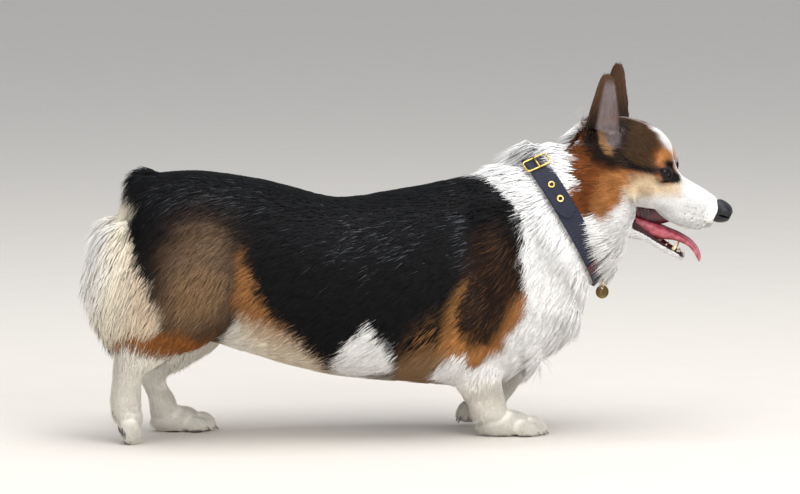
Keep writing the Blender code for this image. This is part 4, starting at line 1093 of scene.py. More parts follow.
def nylon_webbing(colour):
    """Nylon webbing: ribs 1.6 mm apart along it, crossed every 1.2 mm, with two sewn rows."""
    made, tree, shader, _ = finish("Nylon webbing, woven and sewn", 0.62, Sheen_Weight=0.05)
    flat = node(tree, "UVMap", {"uv_map": "Strap"}).outputs["UV"]
    axes = node(tree, "SeparateXYZ", Vector=flat).outputs
    at = {"x": axes["X"], "y": axes["Y"]}
    for name, operation, *values in (
            ("x turn", "MULTIPLY", "x", math.pi / PICK), ("x wave", "SINE", "x turn"),
            ("x thread", "ABSOLUTE", "x wave"), ("y turn", "MULTIPLY", "y", math.pi / RIB),
            ("y wave", "SINE", "y turn"), ("y thread", "ABSOLUTE", "y wave"),
            ("weave", "MULTIPLY", "x thread", "y thread"), ("across", "ABSOLUTE", "y"),
            ("row", "COMPARE", "across", SEAM, SEAM_HALF), ("step", "PINGPONG", "x", STITCH),
            ("dash", "GREATER_THAN", "step", STITCH_GAP), ("stitch", "MULTIPLY", "row", "dash"),
            ("height", "ADD", "weave", "stitch")):
        inputs = {f"i{k}": at.get(value, value) for k, value in enumerate(values)}
        at[name] = node(tree, "Math", {"operation": operation}, **inputs).outputs["Value"]
    # Painted shade: the cloth is 0.45 of its colour in the grooves between the threads and full
    # colour on their crowns.
    cloth = dimmed(colour, 0.45)
    for share, light in ((at["weave"], colour), (at["stitch"], hexed("#28315a"))):
        cloth = node(tree, "Mix", {"data_type": "RGBA"}, Factor=share, i6=cloth,
                     i7=light).outputs[2]
    fed(tree, shader, cloth, at["height"], 0.0005, 0.7)
    return made


def cast_brass(name, dark, light, roughness):
    """Brass, cast and tumbled: yellow metal, brighter on worn patches, with fine scratches."""
    made, tree, shader, place = finish(name, roughness, Metallic=1.0)
    stretched = node(tree, "Mapping", Vector=place, Scale=(3000.0, 400.0, 600.0))
    scratch = node(tree, "TexNoise", Vector=stretched.outputs["Vector"], Scale=1.0)
    fed(tree, shader, speckled(tree, place, hexed(dark), hexed(light), 350.0, 0.3, 0.6),
        scratch.outputs["Fac"], 0.00008, 0.35)
    return made


def studio_paper(colour):
    """Matt background paper: pale, with a faint mottle and no gloss."""
    made, tree, shader, place = finish("Background paper, matt", 0.9, Specular_IOR_Level=0.2)
    fed(tree, shader, speckled(tree, place, dimmed(colour, 0.985), colour, 14.0))
    return made


# How each part of the skin is fused: voxel in millimetres, rounds of smoothing, most triangles.
HEAD_SKIN = 1.15, 16, 84000
BODY_SKIN = 2.4, 62, 78000
FOOT_SKIN = 1.3, 7, 9000
WHOLE_SKIN = 1.25, 36, 170000
# The height at which each foot is set into its leg, and how far round it the step is evened out.
WRISTS = {"forepaw_right": 43, "forepaw_left": 44, "hindpaw_right": 52, "hindpaw_left": 40}
WRIST_REACH = 75
SKIN_LOW = 0.3               # millimetres that the skin stays above the floor
FAR = 60                     # past this distance from the band the coat takes no note of it


def block(name, low, high):
    """A box between two corners, as a tool for a cut."""
    corners = [(x, y, z) for z in (low[2], high[2]) for y in (low[1], high[1])
               for x in (low[0], high[0])]
    faces = [(0, 1, 3, 2), (4, 5, 7, 6), (0, 1, 5, 4), (2, 3, 7, 6), (0, 2, 6, 4), (1, 3, 7, 5)]
    return solid(name, (np.array(corners, float), faces))


def feet():
    """Each foot as a skin of its own, because the leg's voxels are too coarse for toes."""
    made = []
    for name, (centre, *_) in PAWS.items():
        shapes = paw_shapes(name) + [level(LEGS[name.replace("paw", "leg")])]
        foot = fused(name + "_skin", shapes, *FOOT_SKIN)
        x, y, top = centre[0], centre[1], WRISTS[name]
        cut(foot, [block("above", (x - 200, y - 100, top), (x + 200, y + 100, top + 300))])
        made.append(foot)
    return made


def eye_cutters():
    """A socket for each ball, and the opening of its lids."""
    made = []
    for side in (-1, 1):
        place = eye_place(side)
        made.append(solid("socket", moved(egg((0, 0, 0), (EYE_RADIUS + 0.25,) * 3, 0, 28), place)))
        slit = tube([lid_hoop(x, size, 32) for x, size in ((3, 0.9), (9, 1.0), (20, 1.25))])
        made.append(solid("slit", moved(slit, place @ turned(side * LIDS_TURN, "X"))))
    return made


def mouth_shape():
    """The hollow between the open jaws."""
    return moved(upright(MOUTH, 2.6, 4, 28), HEAD)


def evened(skin, voxel, rounds, triangles):
    """Remeshes the joined skin, and evens out the steps where the feet were set into the legs."""
    remeshed(skin, voxel)
    points = arrays(skin.data)[0]
    share = np.zeros(len(points))
    for name, (centre, *_) in PAWS.items():
        near = np.hypot(points[:, 0] - centre[0], points[:, 1] - centre[1]) < WRIST_REACH
        step = np.clip(1.4 - np.abs(points[:, 2] - WRISTS[name]) / 12, 0, 1)
        share = np.maximum(share, near * step)
    wrists = weighted(skin, "wrists", np.round(np.maximum(share, 0.1), 1))
    evenly_smoothed(skin, rounds, vertex_group=wrists)
    skin.vertex_groups.clear()
    thinned(skin, triangles / (2 * len(skin.data.polygons)))


def from_eye(own, side):
    """Distance from the middle of an eye, for points in the head's frame."""
    return np.linalg.norm(own - eye_centre(side), axis=1)


def add_skin():
    """One skin from nose to tail, laid inside the solids by the depth of the coat."""
    head = fused("head_skin", head_shapes() + [ear_shape(side) for side in (-1, 1)], *HEAD_SKIN)
    skin = fused("skin", body_shapes(), *BODY_SKIN,
                 lambda high: np.clip((high - 45) / 35, 0.05, 1))
    cut(skin, [head, *feet()], "UNION")
    evened(skin, *WHOLE_SKIN)
    points, normals, _, _ = arrays(skin.data)
    depth = guided(points)[:, 4]
    own = in_head(points)
    for side in (-1, 1):
        depth *= np.clip((from_eye(own, side) - 12) / 8, 0.15, 1)
        depth[on_ear(own, side)] = 0.0
    points -= normals * depth[:, None]
    points[:, 2] = np.maximum(points[:, 2], SKIN_LOW)
    reshaped(skin.data, points)
    cut(skin, [*eye_cutters(), solid("mouth", mouth_shape())])
    for face in skin.data.polygons:
        face.select = True
    skin.data.shade_smooth()
    return skin


def surface_of(shape):
    """A shape as a surface to measure distances from."""
    points, faces = shape
    return BVHTree.FromPolygons([tuple(p) for p in points], faces)


def gaps(points, tree, reach):
    """Distance from each point to a surface, or reach where it is further."""
    made = np.full(len(points), float(reach))
    for i, point in enumerate(points):
        found = tree.find_nearest(Vector(point), reach)
        if found[0] is not None:
            made[i] = found[3]
    return made


def mouth_gap(points):
    """Distance from the hollow of the mouth, for the points of the muzzle."""
    made = np.full(len(points), 30.0)
    own = in_head(points)
    near = np.flatnonzero((own[:, 0] > -5) & (own[:, 0] < 115) & (own[:, 2] < -15)
                          & (np.abs(own[:, 1]) < 45))
    made[near] = gaps(points[near], surface_of(mouth_shape()), 30)
    return made


def lip_width(own):
    """How far the bare lip reaches from the opening: wider along the lower jaw."""
    return np.where(own[:, 2] < -46, 3.8, 1.9)


def paint_skin(skin):
    """Stores the coat's colours on the skin, with the lips, gums and hollow of the mouth."""
    points = arrays(skin.data)[0]
    own = in_head(points)
    colours = marking_and_shade(points, np.zeros((len(points), 2)), np.full(len(points), 0.5), points)
    gap = mouth_gap(points)
    rows = np.array(MOUTH)
    half = np.interp(own[:, 0], rows[:, 0], rows[:, 3])
    edge = np.abs(own[:, 1]) / half
    colours = over(colours, soft(lip_width(own) + 1.0 - gap, 1.6), "flews")
    within = gap < 0.25
    colours = over(colours, within, "gum")
    colours = over(colours, within * soft(0.4 - edge, 0.3), "flews")
    colours = over(colours, within * soft(edge - 0.9, 0.16) * (own[:, 0] > 14), "pink")
    painted(skin.data, colours)


def unwrap(skin):
    """Unwraps the skin, for the bake and for the places of the tufts' own patches."""
    alone(skin)
    bpy.ops.object.mode_set(mode="EDIT")
    bpy.ops.mesh.select_all(action="SELECT")
    bpy.ops.uv.smart_project(angle_limit=math.radians(66), island_margin=0.001)
    bpy.ops.object.mode_set(mode="OBJECT")


def collar_edges():
    """The sections of the neck at the band's rear and front edges."""
    return neck_sections()[6:11:4]


def around(section, turn):
    """A point on a section of the neck."""
    centre, up, deep, half = section
    across, high = (math.copysign(abs(value) ** (2 / ROUND), value)
                    for value in (math.cos(turn), math.sin(turn)))
    return centre + np.array(ACROSS) * across * half + up * high * deep


def on_collar(turn, across, lift=0.0):
    """A point on the band, the way across it and the way out of it."""
    rear, front = collar_edges()

    def middle(angle):
        return (around(rear, angle) + around(front, angle)) / 2

    along = unit(around(front, turn) - around(rear, turn))
    out = unit(np.cross(middle(turn + 0.02) - middle(turn - 0.02), along))
    return middle(turn) + along * (across * COLLAR_WIDTH / 2) + out * lift, along, out


def band_shape():
    """The outside of the band as a closed shape, to measure the coat's distance from."""
    edge = ((-1, -0.5), (-1.02, 0), (-1, 0.5), (-0.5, 0.52), (0, 0.53), (0.5, 0.52), (1, 0.5),
            (1.02, 0), (1, -0.5), (0, -0.5))
    points = [on_collar(turn, across, COLLAR_LIFT + out * STRAP)[0]
              for turn in np.arange(96) * 2 * math.pi / 96 for across, out in edge]
    return np.array(points), lattice(96, len(edge), True)


def collar_gap(points):
    """Distance from the band, positive towards the head and negative towards the tail."""
    made = np.full(len(points), float(FAR))
    near = np.flatnonzero((points[:, 0] > 70) & (points[:, 0] < 290) & (points[:, 2] > 120))
    made[near] = gaps(points[near], surface_of(band_shape()), FAR)
    nape, throat = (on_collar(turn, 0)[0] for turn in (math.pi / 2, -math.pi / 2))
    ahead = np.cross(throat - nape, ACROSS)
    return np.where((points - nape) @ ahead > 0, made, -made)


LONG_COATS = 7               # pieces of bent tufts, each under 200,000 triangles
SHORT_COATS = 4              # pieces of short straight tufts
SHORT_HAIR = 13.0            # millimetres, below which a tuft is a straight one
COLOUR_AT = 0.78             # the share of a tuft's length at which it takes its colour
BARE_EYE = (11.6, 8.2)       # half width and height of the bare place round an eye
NOSE_FROM = 109.5            # where the nose begins, ahead in the head's frame
NOSE_HIGH = (-17, 13)        # its underside and top there
SOLE = 4.5                   # height below which what faces down is a sole
PARTING = 4.0                # how far from the band the first hairs are rooted
NAPE = (166, -5)             # the middle of the hair that stands up at the nape
NAPE_RISE = 26.0             # how far it stands up
THROAT_RISE = 8.0            # how much further the hair of the throat stands out
THROAT_LONGER = 12.0         # and how much longer it is


def may_grow(points, own, normals, pick):
    """True where hair grows: not on nose, lips, lids or soles, and thinly inside the ears."""
    keep = mouth_gap(points) > lip_width(own)
    for side in (-1, 1):
        place = np.array(eye_place(side))
        look = place[:3, :3].T @ (points - place[:3, 3]).T
        open_eye = (look[0] > 4) & (np.hypot(look[1] / BARE_EYE[0], look[2] / BARE_EYE[1]) < 1)
        keep &= ~(open_eye & (from_eye(own, side) < 20))
        _, wide, deep = ear_hollow(own, side)
        keep &= ~(on_ear(own, side) & (deep > 0) & (np.abs(wide) < 0.85) & (pick > 0.45))
    under, top = NOSE_HIGH
    keep &= ~((own[:, 0] > NOSE_FROM) & (own[:, 2] > under) & (own[:, 2] < top))
    keep &= ~((points[:, 2] < SOLE) & (normals[:, 2] < -0.4))
    return keep


def flick(points, spread=1.0):
    """Where hair stands up at the nape, from 0 to 1."""
    made = np.exp(bell(points[:, 0], NAPE[0], 6 * spread)
                  + bell(points[:, 1], NAPE[1], 9 * spread))
    return np.where((made > 0.15) & (points[:, 2] > 300), made, 0.0)


def wanted(middles):
    """How close together the tufts stand: closer where they are fine or short, on the head and
    where the nape's hair stands up."""
    guide = guided(middles)
    need = 1.0 / (guide[:, 5] * np.sqrt(guide[:, 3]))
    return need * (1.0 + 0.9 * soft(in_head(middles)[:, 0] + 30, 30) + 6.0 * flick(middles, 1.9))


def add_coat(skin, count):
    """The whole coat, parted into pieces by kind and by place along the body."""
    roots, normals, place = rooted(skin, count, wanted, SEED)
    own = in_head(roots)
    band = collar_gap(roots)
    draw = np.random.default_rng(SEED + 1)
    pick = draw.uniform(0, 1, count)
    keep = may_grow(roots, own, normals, pick) & (np.abs(band) > PARTING)
    roots, normals, place, own, band, pick = (
        part[keep] for part in (roots, normals, place, own, band, pick))
    count = len(roots)
    guide = guided(roots)
    lies, (lengths, rises, widths) = guide[:, :3].copy(), guide[:, 3:].T
    leaf = np.zeros(count, bool)
    for side in (-1, 1):
        along, wide, deep = ear_hollow(own, side)
        rise = ear_axes(side)[1]
        on = on_ear(own, side)
        inner = on & (deep > 0) & (along < 0.6)
        foot = ((along > -0.12) & (along <= 0.32) & (np.abs(wide) < 2.0) & (np.abs(deep) < 24)
                & ~on & (own[:, 2] > 0))
        lies[on] = HEAD_TURN @ rise
        lies[foot] = HEAD_TURN @ (rise + (-0.6, 0, 0))
        kinds = [inner, on, foot]
        lengths = np.select(kinds, [10.0, 7.5 - 3 * np.clip(along, 0, 1), 9.0], lengths)
        rises = np.select(kinds, [1.2, 0.35, 0.8], rises)
        widths = np.select(kinds, [0.75, 0.75, 0.9], widths)
        leaf |= on
    nape = flick(roots) * (band > 0) * ~leaf
    lies += nape[:, None] * 3.0 * np.array((-1.0, 0, 0.12))
    throat = np.exp(bell(roots[:, 0], 234, 26) + bell(roots[:, 2], 200, 34)) * (band > 0) * ~leaf
    lengths = lengths * (1 + 0.75 * nape) + THROAT_LONGER * throat
    rises = rises + NAPE_RISE * nape + THROAT_RISE * throat
    clump, fine = (np.column_stack([waves(roots, size, seed + k) for k in range(3)])
                   for size, seed in ((26, 30), (7, 40)))
    long = np.clip((lengths - 12) / 25, 0, 1)[:, None]
    calm = np.where(leaf, 0.35, 1.0)[:, None]
    lies += (clump * 0.12 * long + fine * (0.06 + 0.07 * long)) * calm
    lies += draw.normal(0, 0.065, (count, 3)) * calm
    lengths = lengths * draw.uniform(0.78, 1.18, count)
    rises = rises * draw.uniform(0.62, 0.95, count) * (1 + 0.15 * waves(roots, 15, 50))
    front = (band > 0) & (band < lengths * 0.95) & (nape < 0.2)
    lengths = np.where(front, band + draw.uniform(3.0, 12.0, count) * (1 + 1.2 * throat), lengths)
    rises = np.where(front, np.maximum(rises, guide[:, 4] + 4.5), rises)
    widths = widths * draw.uniform(0.45, 0.85, count)
    jitter = draw.normal(0, 1.3, (count, 2)) * np.clip(lengths / 26, 0.3, 1.0)[:, None]
    seen = roots + lying(lies, normals) * (lengths * COLOUR_AT)[:, None]
    colours = marking_and_shade(seen, jitter, pick, roots)
    colours = over(colours, soft(nape - 0.08, 0.1), "white")
    colours = np.clip(colours * draw.uniform(0.92, 1.07, count)[:, None], 0, 1)
    is_short = (lengths < SHORT_HAIR) & (nape < 0.1)
    curls = draw.normal(0, 0.07, count) * lengths
    fields = roots, normals, lies, lengths, rises, widths, curls, place, colours
    made = []
    for name, short, parts in (("coat_long", False, LONG_COATS),
                               ("coat_short", True, SHORT_COATS)):
        some = np.flatnonzero(is_short == short)
        some = some[np.argsort(roots[some, 0])]
        for k, part in enumerate(np.array_split(some, parts)):
            made.append(tufts(f"{name}_{k + 1}", short, *(field[part] for field in fields)))
    return made


def put(obj, place, name):
    """Moves a piece modelled in millimetres into its mesh's place, and its object to the origin."""
    obj.name = name
    obj.data.name = name
    obj.data.transform(obj.matrix_basis)
    obj.matrix_basis = Matrix()
    obj.data.transform(Matrix.Scale(MM, 4) @ Matrix.Translation(ORIGIN) @ place)
    return obj


def chosen(obj, test):
    """Selects, in edit mode, the faces that pass a test."""
    bm = bmesh.from_edit_mesh(obj.data)
    bm.select_mode = {"VERT", "EDGE", "FACE"}
    for item in [*bm.faces, *bm.edges, *bm.verts]:
        item.select = False
    for face in bm.faces:
        if test(face):
            face.select_set(True)
    bm.select_flush_mode()
    bmesh.update_edit_mesh(obj.data)


def joined(name, objects):
    """The objects as one smooth-shaded piece of that name."""
    alone(objects[0])
    for obj in objects:
        obj.select_set(True)
    bpy.ops.object.join()
    made = bpy.context.view_layer.objects.active
    made.name = name
    made.data.name = name
    made.data.shade_smooth()
    return made


def loop_tube(path, radius, sides):
    """A closed tube round a closed path of points."""
    ahead = unit(np.roll(path, -1, axis=0) - np.roll(path, 1, axis=0))
    out = path - path.mean(axis=0)
    out = unit(out - ahead * (out * ahead).sum(axis=1)[:, None])
    third = np.cross(ahead, out)
    turns = [2 * math.pi * k / sides for k in range(sides)]
    hoops = [path + radius * (out * math.cos(turn) + third * math.sin(turn)) for turn in turns]
    return np.stack(hoops, axis=1).reshape(-1, 3), lattice(len(path), sides, True)


def spike(path, radii, sides):
    """A closed round bar through a path, with a radius at each point."""
    path = np.array(path, float)
    ahead = unit(np.gradient(path, axis=0))
    side = unit(np.cross(ahead, (0.13, 0.21, 0.97)))
    return tube([hoop(point, up, across, radius, radius, radius, 2.0, sides)
                 for point, up, across, radius in zip(path, np.cross(side, ahead), side, radii)])


def bent(start, way, droop, length, steps):
    """Points along a hair or claw that leaves along a way and droops."""
    way = unit(np.array(way, float))
    return [start + way * length * t + np.array(droop) * length * t * t
            for t in np.linspace(0, 1, steps)]


def add_eye(side):
    """An eyeball with a bulged cornea. Iris holds the turn from the look, for the material."""
    fresh()
    bpy.ops.mesh.primitive_uv_sphere_add(segments=56, ring_count=40, radius=EYE_RADIUS)
    ball = bpy.context.object
    ball.data.transform(turned(90, "Y"))
    turns = []
    for point in ball.data.vertices:
        off = math.hypot(point.co.y, point.co.z) / EYE_RADIUS
        turn = math.atan2(off, point.co.x / EYE_RADIUS)
        turns.append(turn)
        point.co *= 1 + 0.075 * max(0.0, 1 - (turn / 0.72) ** 2)
    layer = ball.data.attributes.new("Iris", "FLOAT", "POINT")
    layer.data.foreach_set("value", turns)
    ball.data.shade_smooth()
    return put(ball, eye_place(side), "eyeball_left" if side > 0 else "eyeball_right")


def add_lids():
    """Bare dark rims of the eyelids: a round bar along their opening, on the ball."""
    path = lid_hoop(0, 0.97, 72)
    path[:, 0] = np.sqrt((EYE_RADIUS + 0.9) ** 2 - path[:, 1] ** 2 - path[:, 2] ** 2)
    rim = loop_tube(path, 1.05, 10)
    return solid("eyelid_rims", merged([
        moved(rim, eye_place(side) @ turned(side * LIDS_TURN, "X")) for side in (-1, 1)]))


def add_nose():
    """Nose leather with two comma nostrils and the groove between them."""
    nose = solid("nose_leather", moved(upright(NOSE, 2.3, 6, 48), HEAD))
    tools = [solid("groove", moved(egg((134, 0, -7), (6, 0.7, 9)), HEAD))]
    for side in (-1, 1):
        tools.append(solid("nostril", moved(egg((131, side * 6.2, -1.5), (9, 2.9, 3.0), 8), HEAD)))
        tools.append(solid("slit", moved(egg((127, side * 11.0, -4.5), (8, 5.2, 1.1), 10), HEAD)))
    cut(nose, tools)
    remeshed(nose, 0.5)
    evenly_smoothed(nose, 5)
    thinned(nose, 0.5)
    nose.data.shade_smooth()
    return nose


def add_tongue():
    """The tongue, hollowed along its middle, over the lower lip."""
    tongue = solid("tongue_flesh", moved(upright(TONGUE, 2.3, 6, 40), HEAD))
    remeshed(tongue, 0.8)
    evenly_smoothed(tongue, 6)
    points, normals, _, _ = arrays(tongue.data)
    up = HEAD_TURN[:, 2]
    deep = 1.6 * np.exp(bell(in_head(points)[:, 1], 0, 2.6)) * np.clip(normals @ up, 0, 1)
    reshaped(tongue.data, points - np.outer(deep, up))
    tongue.data.shade_smooth()
    return tongue


def add_lining():
    """The roof and sides of the mouth behind the tongue."""
    return solid("mouth_lining", moved(upright(LINING, 2.2, 6, 40), HEAD))


# Teeth in the head's frame: root, way, length, radius.
TEETH = (
    ((93, 10.5, -65), (0.25, 0.25, 1), 11, 2.3), ((84, 12.0, -67), (0.1, 0.1, 1), 5.5, 1.8),
    ((75, 13.5, -67.5), (0.0, 0.1, 1), 6.5, 2.2), ((66, 15.0, -68), (0.0, 0.1, 1), 7.5, 2.5),
    ((56, 16.5, -68), (0.0, 0.1, 1), 9.5, 3.1), ((46, 18.0, -68), (0.0, 0.1, 1), 8.5, 2.9),
    ((98, 11.5, -25), (-0.1, 0.25, -1), 13, 2.4), ((88, 13.0, -25), (0.0, 0.1, -1), 6, 1.8),
    ((79, 14.5, -25), (0.0, 0.1, -1), 6.5, 2.2), ((69, 16.5, -24), (0.0, 0.1, -1), 7.5, 2.5),
    ((58, 18.5, -24), (0.0, 0.1, -1), 9, 3.1), ((47, 18.5, -27), (0.0, 0.1, -1), 7, 2.7),
    ((99.5, 1.8, -67), (0.3, 0.0, 1), 5.5, 1.3), ((99, 5.0, -67), (0.3, 0.1, 1), 5.5, 1.4),
    ((97.5, 7.8, -67), (0.3, 0.2, 1), 6.0, 1.6),
)


def add_teeth():
    """The teeth of both jaws, each a tapered bar that leans a little back."""
    taper = np.array((0.86, 1.0, 0.95, 0.78, 0.55, 0.3, 0.08))
    shapes = []
    for root, way, (length, radius) in both_sides(TEETH):
        path = bent(root, way, (-0.12, 0, 0), length, len(taper))
        shapes.append(moved(spike(path, radius * taper, 10), HEAD))
    return solid("teeth", merged(shapes))


def add_whiskers(skin):
    """Stiff pale hairs from dark roots in rows along the upper lip, and a few over the eyes."""
    draw = np.random.default_rng(SEED + 5)
    tree = BVHTree.FromObject(skin, bpy.context.evaluated_depsgraph_get())
    shapes, dots = [], []

    def on_skin(x, y, z):
        found = tree.find_nearest((HEAD @ Vector((x, y, z)) + Vector(ORIGIN)) * MM)
        return np.array(found[0]) / MM - ORIGIN, np.array(found[1])

    def grow(spot, way, droop, length, root, tip):
        path = bent(spot, way, droop, length, 9)
        shapes.append(spike(path, np.linspace(root, tip, 9), 5))

    for row in range(4):
        for column in range(4):
            x, z = 88 + 8.0 * column + 2.5 * (row % 2), -10.0 - 5.2 * row
            for side in (-1, 1):
                spot, out = on_skin(x + draw.uniform(-2, 2), side * 24,
                                    z + draw.uniform(-1.4, 1.4))
                dots.append(egg(spot + out * 0.75, (0.55, 0.55, 0.45), 0, 8))
                way = HEAD_TURN @ (-0.75, side * 0.9, -0.25) + out * 0.5
                way += draw.normal(0, 0.12, 3)
                grow(spot, way, (0, 0, -0.22), draw.uniform(24, 44), 0.2, 0.04)
    for x, y, z in ((41, 29, 24), (46, 24, 25)):
        for side in (-1, 1):
            spot, out = on_skin(x, side * y, z)
            grow(spot, out + draw.normal(0, 0.25, 3), (-0.1, 0, -0.1), 15, 0.12, 0.03)
    return solid("whiskers", merged(shapes)), solid("whisker_roots", merged(dots))


def on_paws(name, low, shapes_of):
    """A piece of shapes on every paw, kept above the height low."""
    shapes = []
    for paw in PAWS:
        place, length = paw_place(paw)
        shapes += [moved(shape, place) for shape in shapes_of(length)]
    points, faces = merged(shapes)
    points[:, 2] = np.maximum(points[:, 2], low)
    return solid(name, (points, faces))


def add_claws():
    """Blunt pale claws, worn short on the floor."""
    radii = (1.9, 2.0, 1.9, 1.75, 1.5, 1.2, 0.9, 0.5)
    return on_paws("claws", 0.4, lambda length: [
        spike(bent((x * length + 10, y, -5.5), (1, 0, -0.35), (0, 0, -0.35), 9.5, len(radii)),
              radii, 10) for x, y, _, _ in TOES])


def add_pads():
    """The pads under each paw, flat where they bear on the floor."""
    return on_paws("paw_pads", 0.05, lambda length: [
        egg((-2, 0, -11.5), (12, 12.5, 5.5), 0, 28),
        *(egg((x * length + 2, y, -10.6), (8.5, 5.0, 4.2), 0, 20) for x, y, _, _ in TOES)])


# The corners of the band's section: across in half widths, and out in thicknesses. Its length is
# measured along TOP_CORNER.
PROFILE = ((-1, -0.42), (-1.015, 0), (-1, 0.42), (-0.93, 0.5), (-0.5, 0.5), (0, 0.5), (0.5, 0.5),
           (0.93, 0.5), (1, 0.42), (1.015, 0), (1, -0.42), (0, -0.5))
TOP_CORNER = 5


def strap(name, start, end, lift, thickness, wide, steps, tip=0.0):
    """A length of the band from one turn to another, with a rounded end where tip is given."""
    whole = end - start >= 2 * math.pi - 1e-6
    points = []
    for turn in np.linspace(start, end, steps, endpoint=not whole):
        left = (end - turn) / max(tip, 1e-6)
        taper = math.sqrt(max(0.02, 1 - (1 - left) ** 2)) if tip and left < 1 else 1.0
        points.append([on_collar(turn, a * wide * taper, lift + b * thickness)[0]
                       for a, b in PROFILE])
    points = np.array(points)
    line = points[:, TOP_CORNER]
    if whole:
        line = np.vstack((line, line[:1]))
    along = [0.0, *np.cumsum(np.linalg.norm(np.diff(line, axis=0), axis=1))]
    across = [a for a, _ in PROFILE]
    sides = len(PROFILE)
    faces = lattice(steps, sides, whole)
    corners = []
    for near, far in zip(along, along[1:]):
        for k in range(sides):
            a, b = across[k], across[(k + 1) % sides]
            corners += [(near, a), (near, b), (far, b), (far, a)]
    if not whole:
        last = range((steps - 1) * sides, steps * sides)
        faces += [tuple(range(sides)), tuple(reversed(last))]
        corners += [(0.0, a) for a in across] + [(along[-1], a) for a in across[::-1]]
    made = solid(name, (points.reshape(-1, 3), faces))
    layer = made.data.uv_layers.new(name="Strap")
    layer.data.foreach_set("uv", (np.array(corners) * (MM, COLLAR_WIDTH / 2 * MM)).ravel())
    alone(made)
    bpy.ops.object.shade_smooth_by_angle(angle=math.radians(50))
    return made


def plate(turn, across, lift):
    """Sets a flat fitting on the band: its own X across the strap, Z outwards."""
    place, along, out = on_collar(turn, across, lift)
    side = np.cross(out, along)
    made = Matrix.Identity(4)
    for row in range(3):
        for column, way in enumerate((along, side, out)):
            made[row][column] = way[row]
        made[row][3] = place[row]
    return made


BUCKLE_TURN = math.radians(118)       # round the neck, from its left side up over the nape
TAG_TURN = math.radians(-104)
KEEPER_TURN = math.radians(221)
FREE_END = math.radians(112), math.radians(176)
LAYER = 1.5                           # thickness of the free end that lies on the band
ON_LAYER = COLLAR_LIFT + STRAP / 2 + LAYER      # how high the free end's outside is


def add_buckle():
    """A frame buckle bent from round wire, its corners rounded, with its prong."""
    fresh()
    bpy.ops.mesh.primitive_plane_add(size=2.0)
    frame_part = bpy.context.object
    frame_part.data.transform(Matrix.Diagonal((14.2, 9.2, 1.0, 1.0)))
    bpy.ops.object.mode_set(mode="EDIT")
    bpy.ops.mesh.select_all(action="SELECT")
    bpy.ops.mesh.bevel(offset=4.5, segments=6, affect="VERTICES")
    bpy.ops.mesh.delete(type="ONLY_FACE")
    bpy.ops.object.mode_set(mode="OBJECT")
    bpy.ops.object.convert(target="CURVE")
    frame_part = bpy.context.object
    frame_part.data.bevel_depth = 1.15
    frame_part.data.bevel_resolution = 4
    bpy.ops.object.convert(target="MESH")
    frame_part = bpy.context.object
    fresh()
    bpy.ops.mesh.primitive_cylinder_add(vertices=20, radius=0.95, depth=18.4,
                                        rotation=(math.radians(90), 0, 0), location=(0, 0, 1.5))
    prong = bpy.context.object
    place = plate(BUCKLE_TURN, 0, ON_LAYER + 1.2)
    return joined("collar_frame_buckle", [put(piece, place, "buckle_part")
                                          for piece in (frame_part, prong)])


def add_eyelets():
    """Pressed brass eyelets: a turned ring with a rolled lip, one for each hole."""
    flat = Matrix.Diagonal((1, 1, 0.62, 1))
    return joined("collar_eyelets", [
        wire(plate(math.radians(degrees), 0, ON_LAYER + 0.5) @ flat, 3.1, 1.05, 36, 10)
        for degrees in (146, 160)])


def wire(place, radius, half, around_it=40, sides=12):
    """A ring of round wire, flat in a frame of the maker's."""
    fresh()
    bpy.ops.mesh.primitive_torus_add(major_segments=around_it, minor_segments=sides,
                                     major_radius=radius, minor_radius=half)
    return put(bpy.context.object, place, "wire")


def ring(centre, axis, radius, half):
    """A ring of round wire about an axis."""
    turn = Vector(axis).to_track_quat("Z", "Y").to_matrix().to_4x4()
    return wire(Matrix.Translation(centre) @ turn, radius, half)


def add_hangers():
    """The staple at the throat and the split ring that hangs in it."""
    place, _, out = on_collar(TAG_TURN, 0.0)
    link = place + out * 3.3
    return joined("collar_tag_rings", [
        ring(place + out * 2.0, ACROSS, 3.9, 1.15),
        *(ring(link + np.array((x, 0, -4.6)), (1, 0, 0), 4.6, 0.55) for x in (0, 0.9))])


def add_tag():
    """A blank round tag: a disc with a raised rim and a punched eye."""
    place, _, out = on_collar(TAG_TURN, 0.0)
    hung = place + out * 3.3 + np.array((0, 0, -14.2))
    fresh()
    bpy.ops.mesh.primitive_cylinder_add(vertices=56, radius=7.5, depth=1.5)
    disc = bpy.context.object
    bpy.ops.object.mode_set(mode="EDIT")
    for way in (-1, 1):
        chosen(disc, lambda face: face.normal.z * way > 0.9)
        bpy.ops.mesh.inset(thickness=0.9)
        bpy.ops.transform.translate(value=(0, 0, -0.35 * way))
    bpy.ops.object.mode_set(mode="OBJECT")
    fresh()
    bpy.ops.mesh.primitive_cylinder_add(vertices=28, radius=1.5, depth=6, location=(0, 4.65, 0))
    punch = bpy.context.object
    place = Matrix.Translation(hung) @ turned(8, "Z") @ turned(90, "X")
    for piece in (disc, punch):
        put(piece, place, "tag_part")
    cut(disc, [punch], solver="EXACT")
    disc.name = "collar_round_tag"
    modified(disc, "BEVEL", width=0.18 * MM, segments=2, limit_method="ANGLE",
             angle_limit=math.radians(40))
    disc.data.shade_smooth()
    alone(disc)
    bpy.ops.object.shade_smooth_by_angle(angle=math.radians(38))
    return disc


def add_band():
    """The webbing, its free end beyond the buckle, and a leather keeper."""
    outside = COLLAR_LIFT + STRAP / 2
    return (strap("collar_webbing", 0.0, 2 * math.pi, COLLAR_LIFT, STRAP, 1.0, 120),
            strap("collar_free_end", *FREE_END, outside + LAYER / 2 + 0.15, LAYER, 0.97, 44,
                  math.radians(12)),
            strap("collar_leather_keeper", KEEPER_TURN - 0.085, KEEPER_TURN + 0.085,
                  outside + 0.9, 1.7, 1.05, 8))


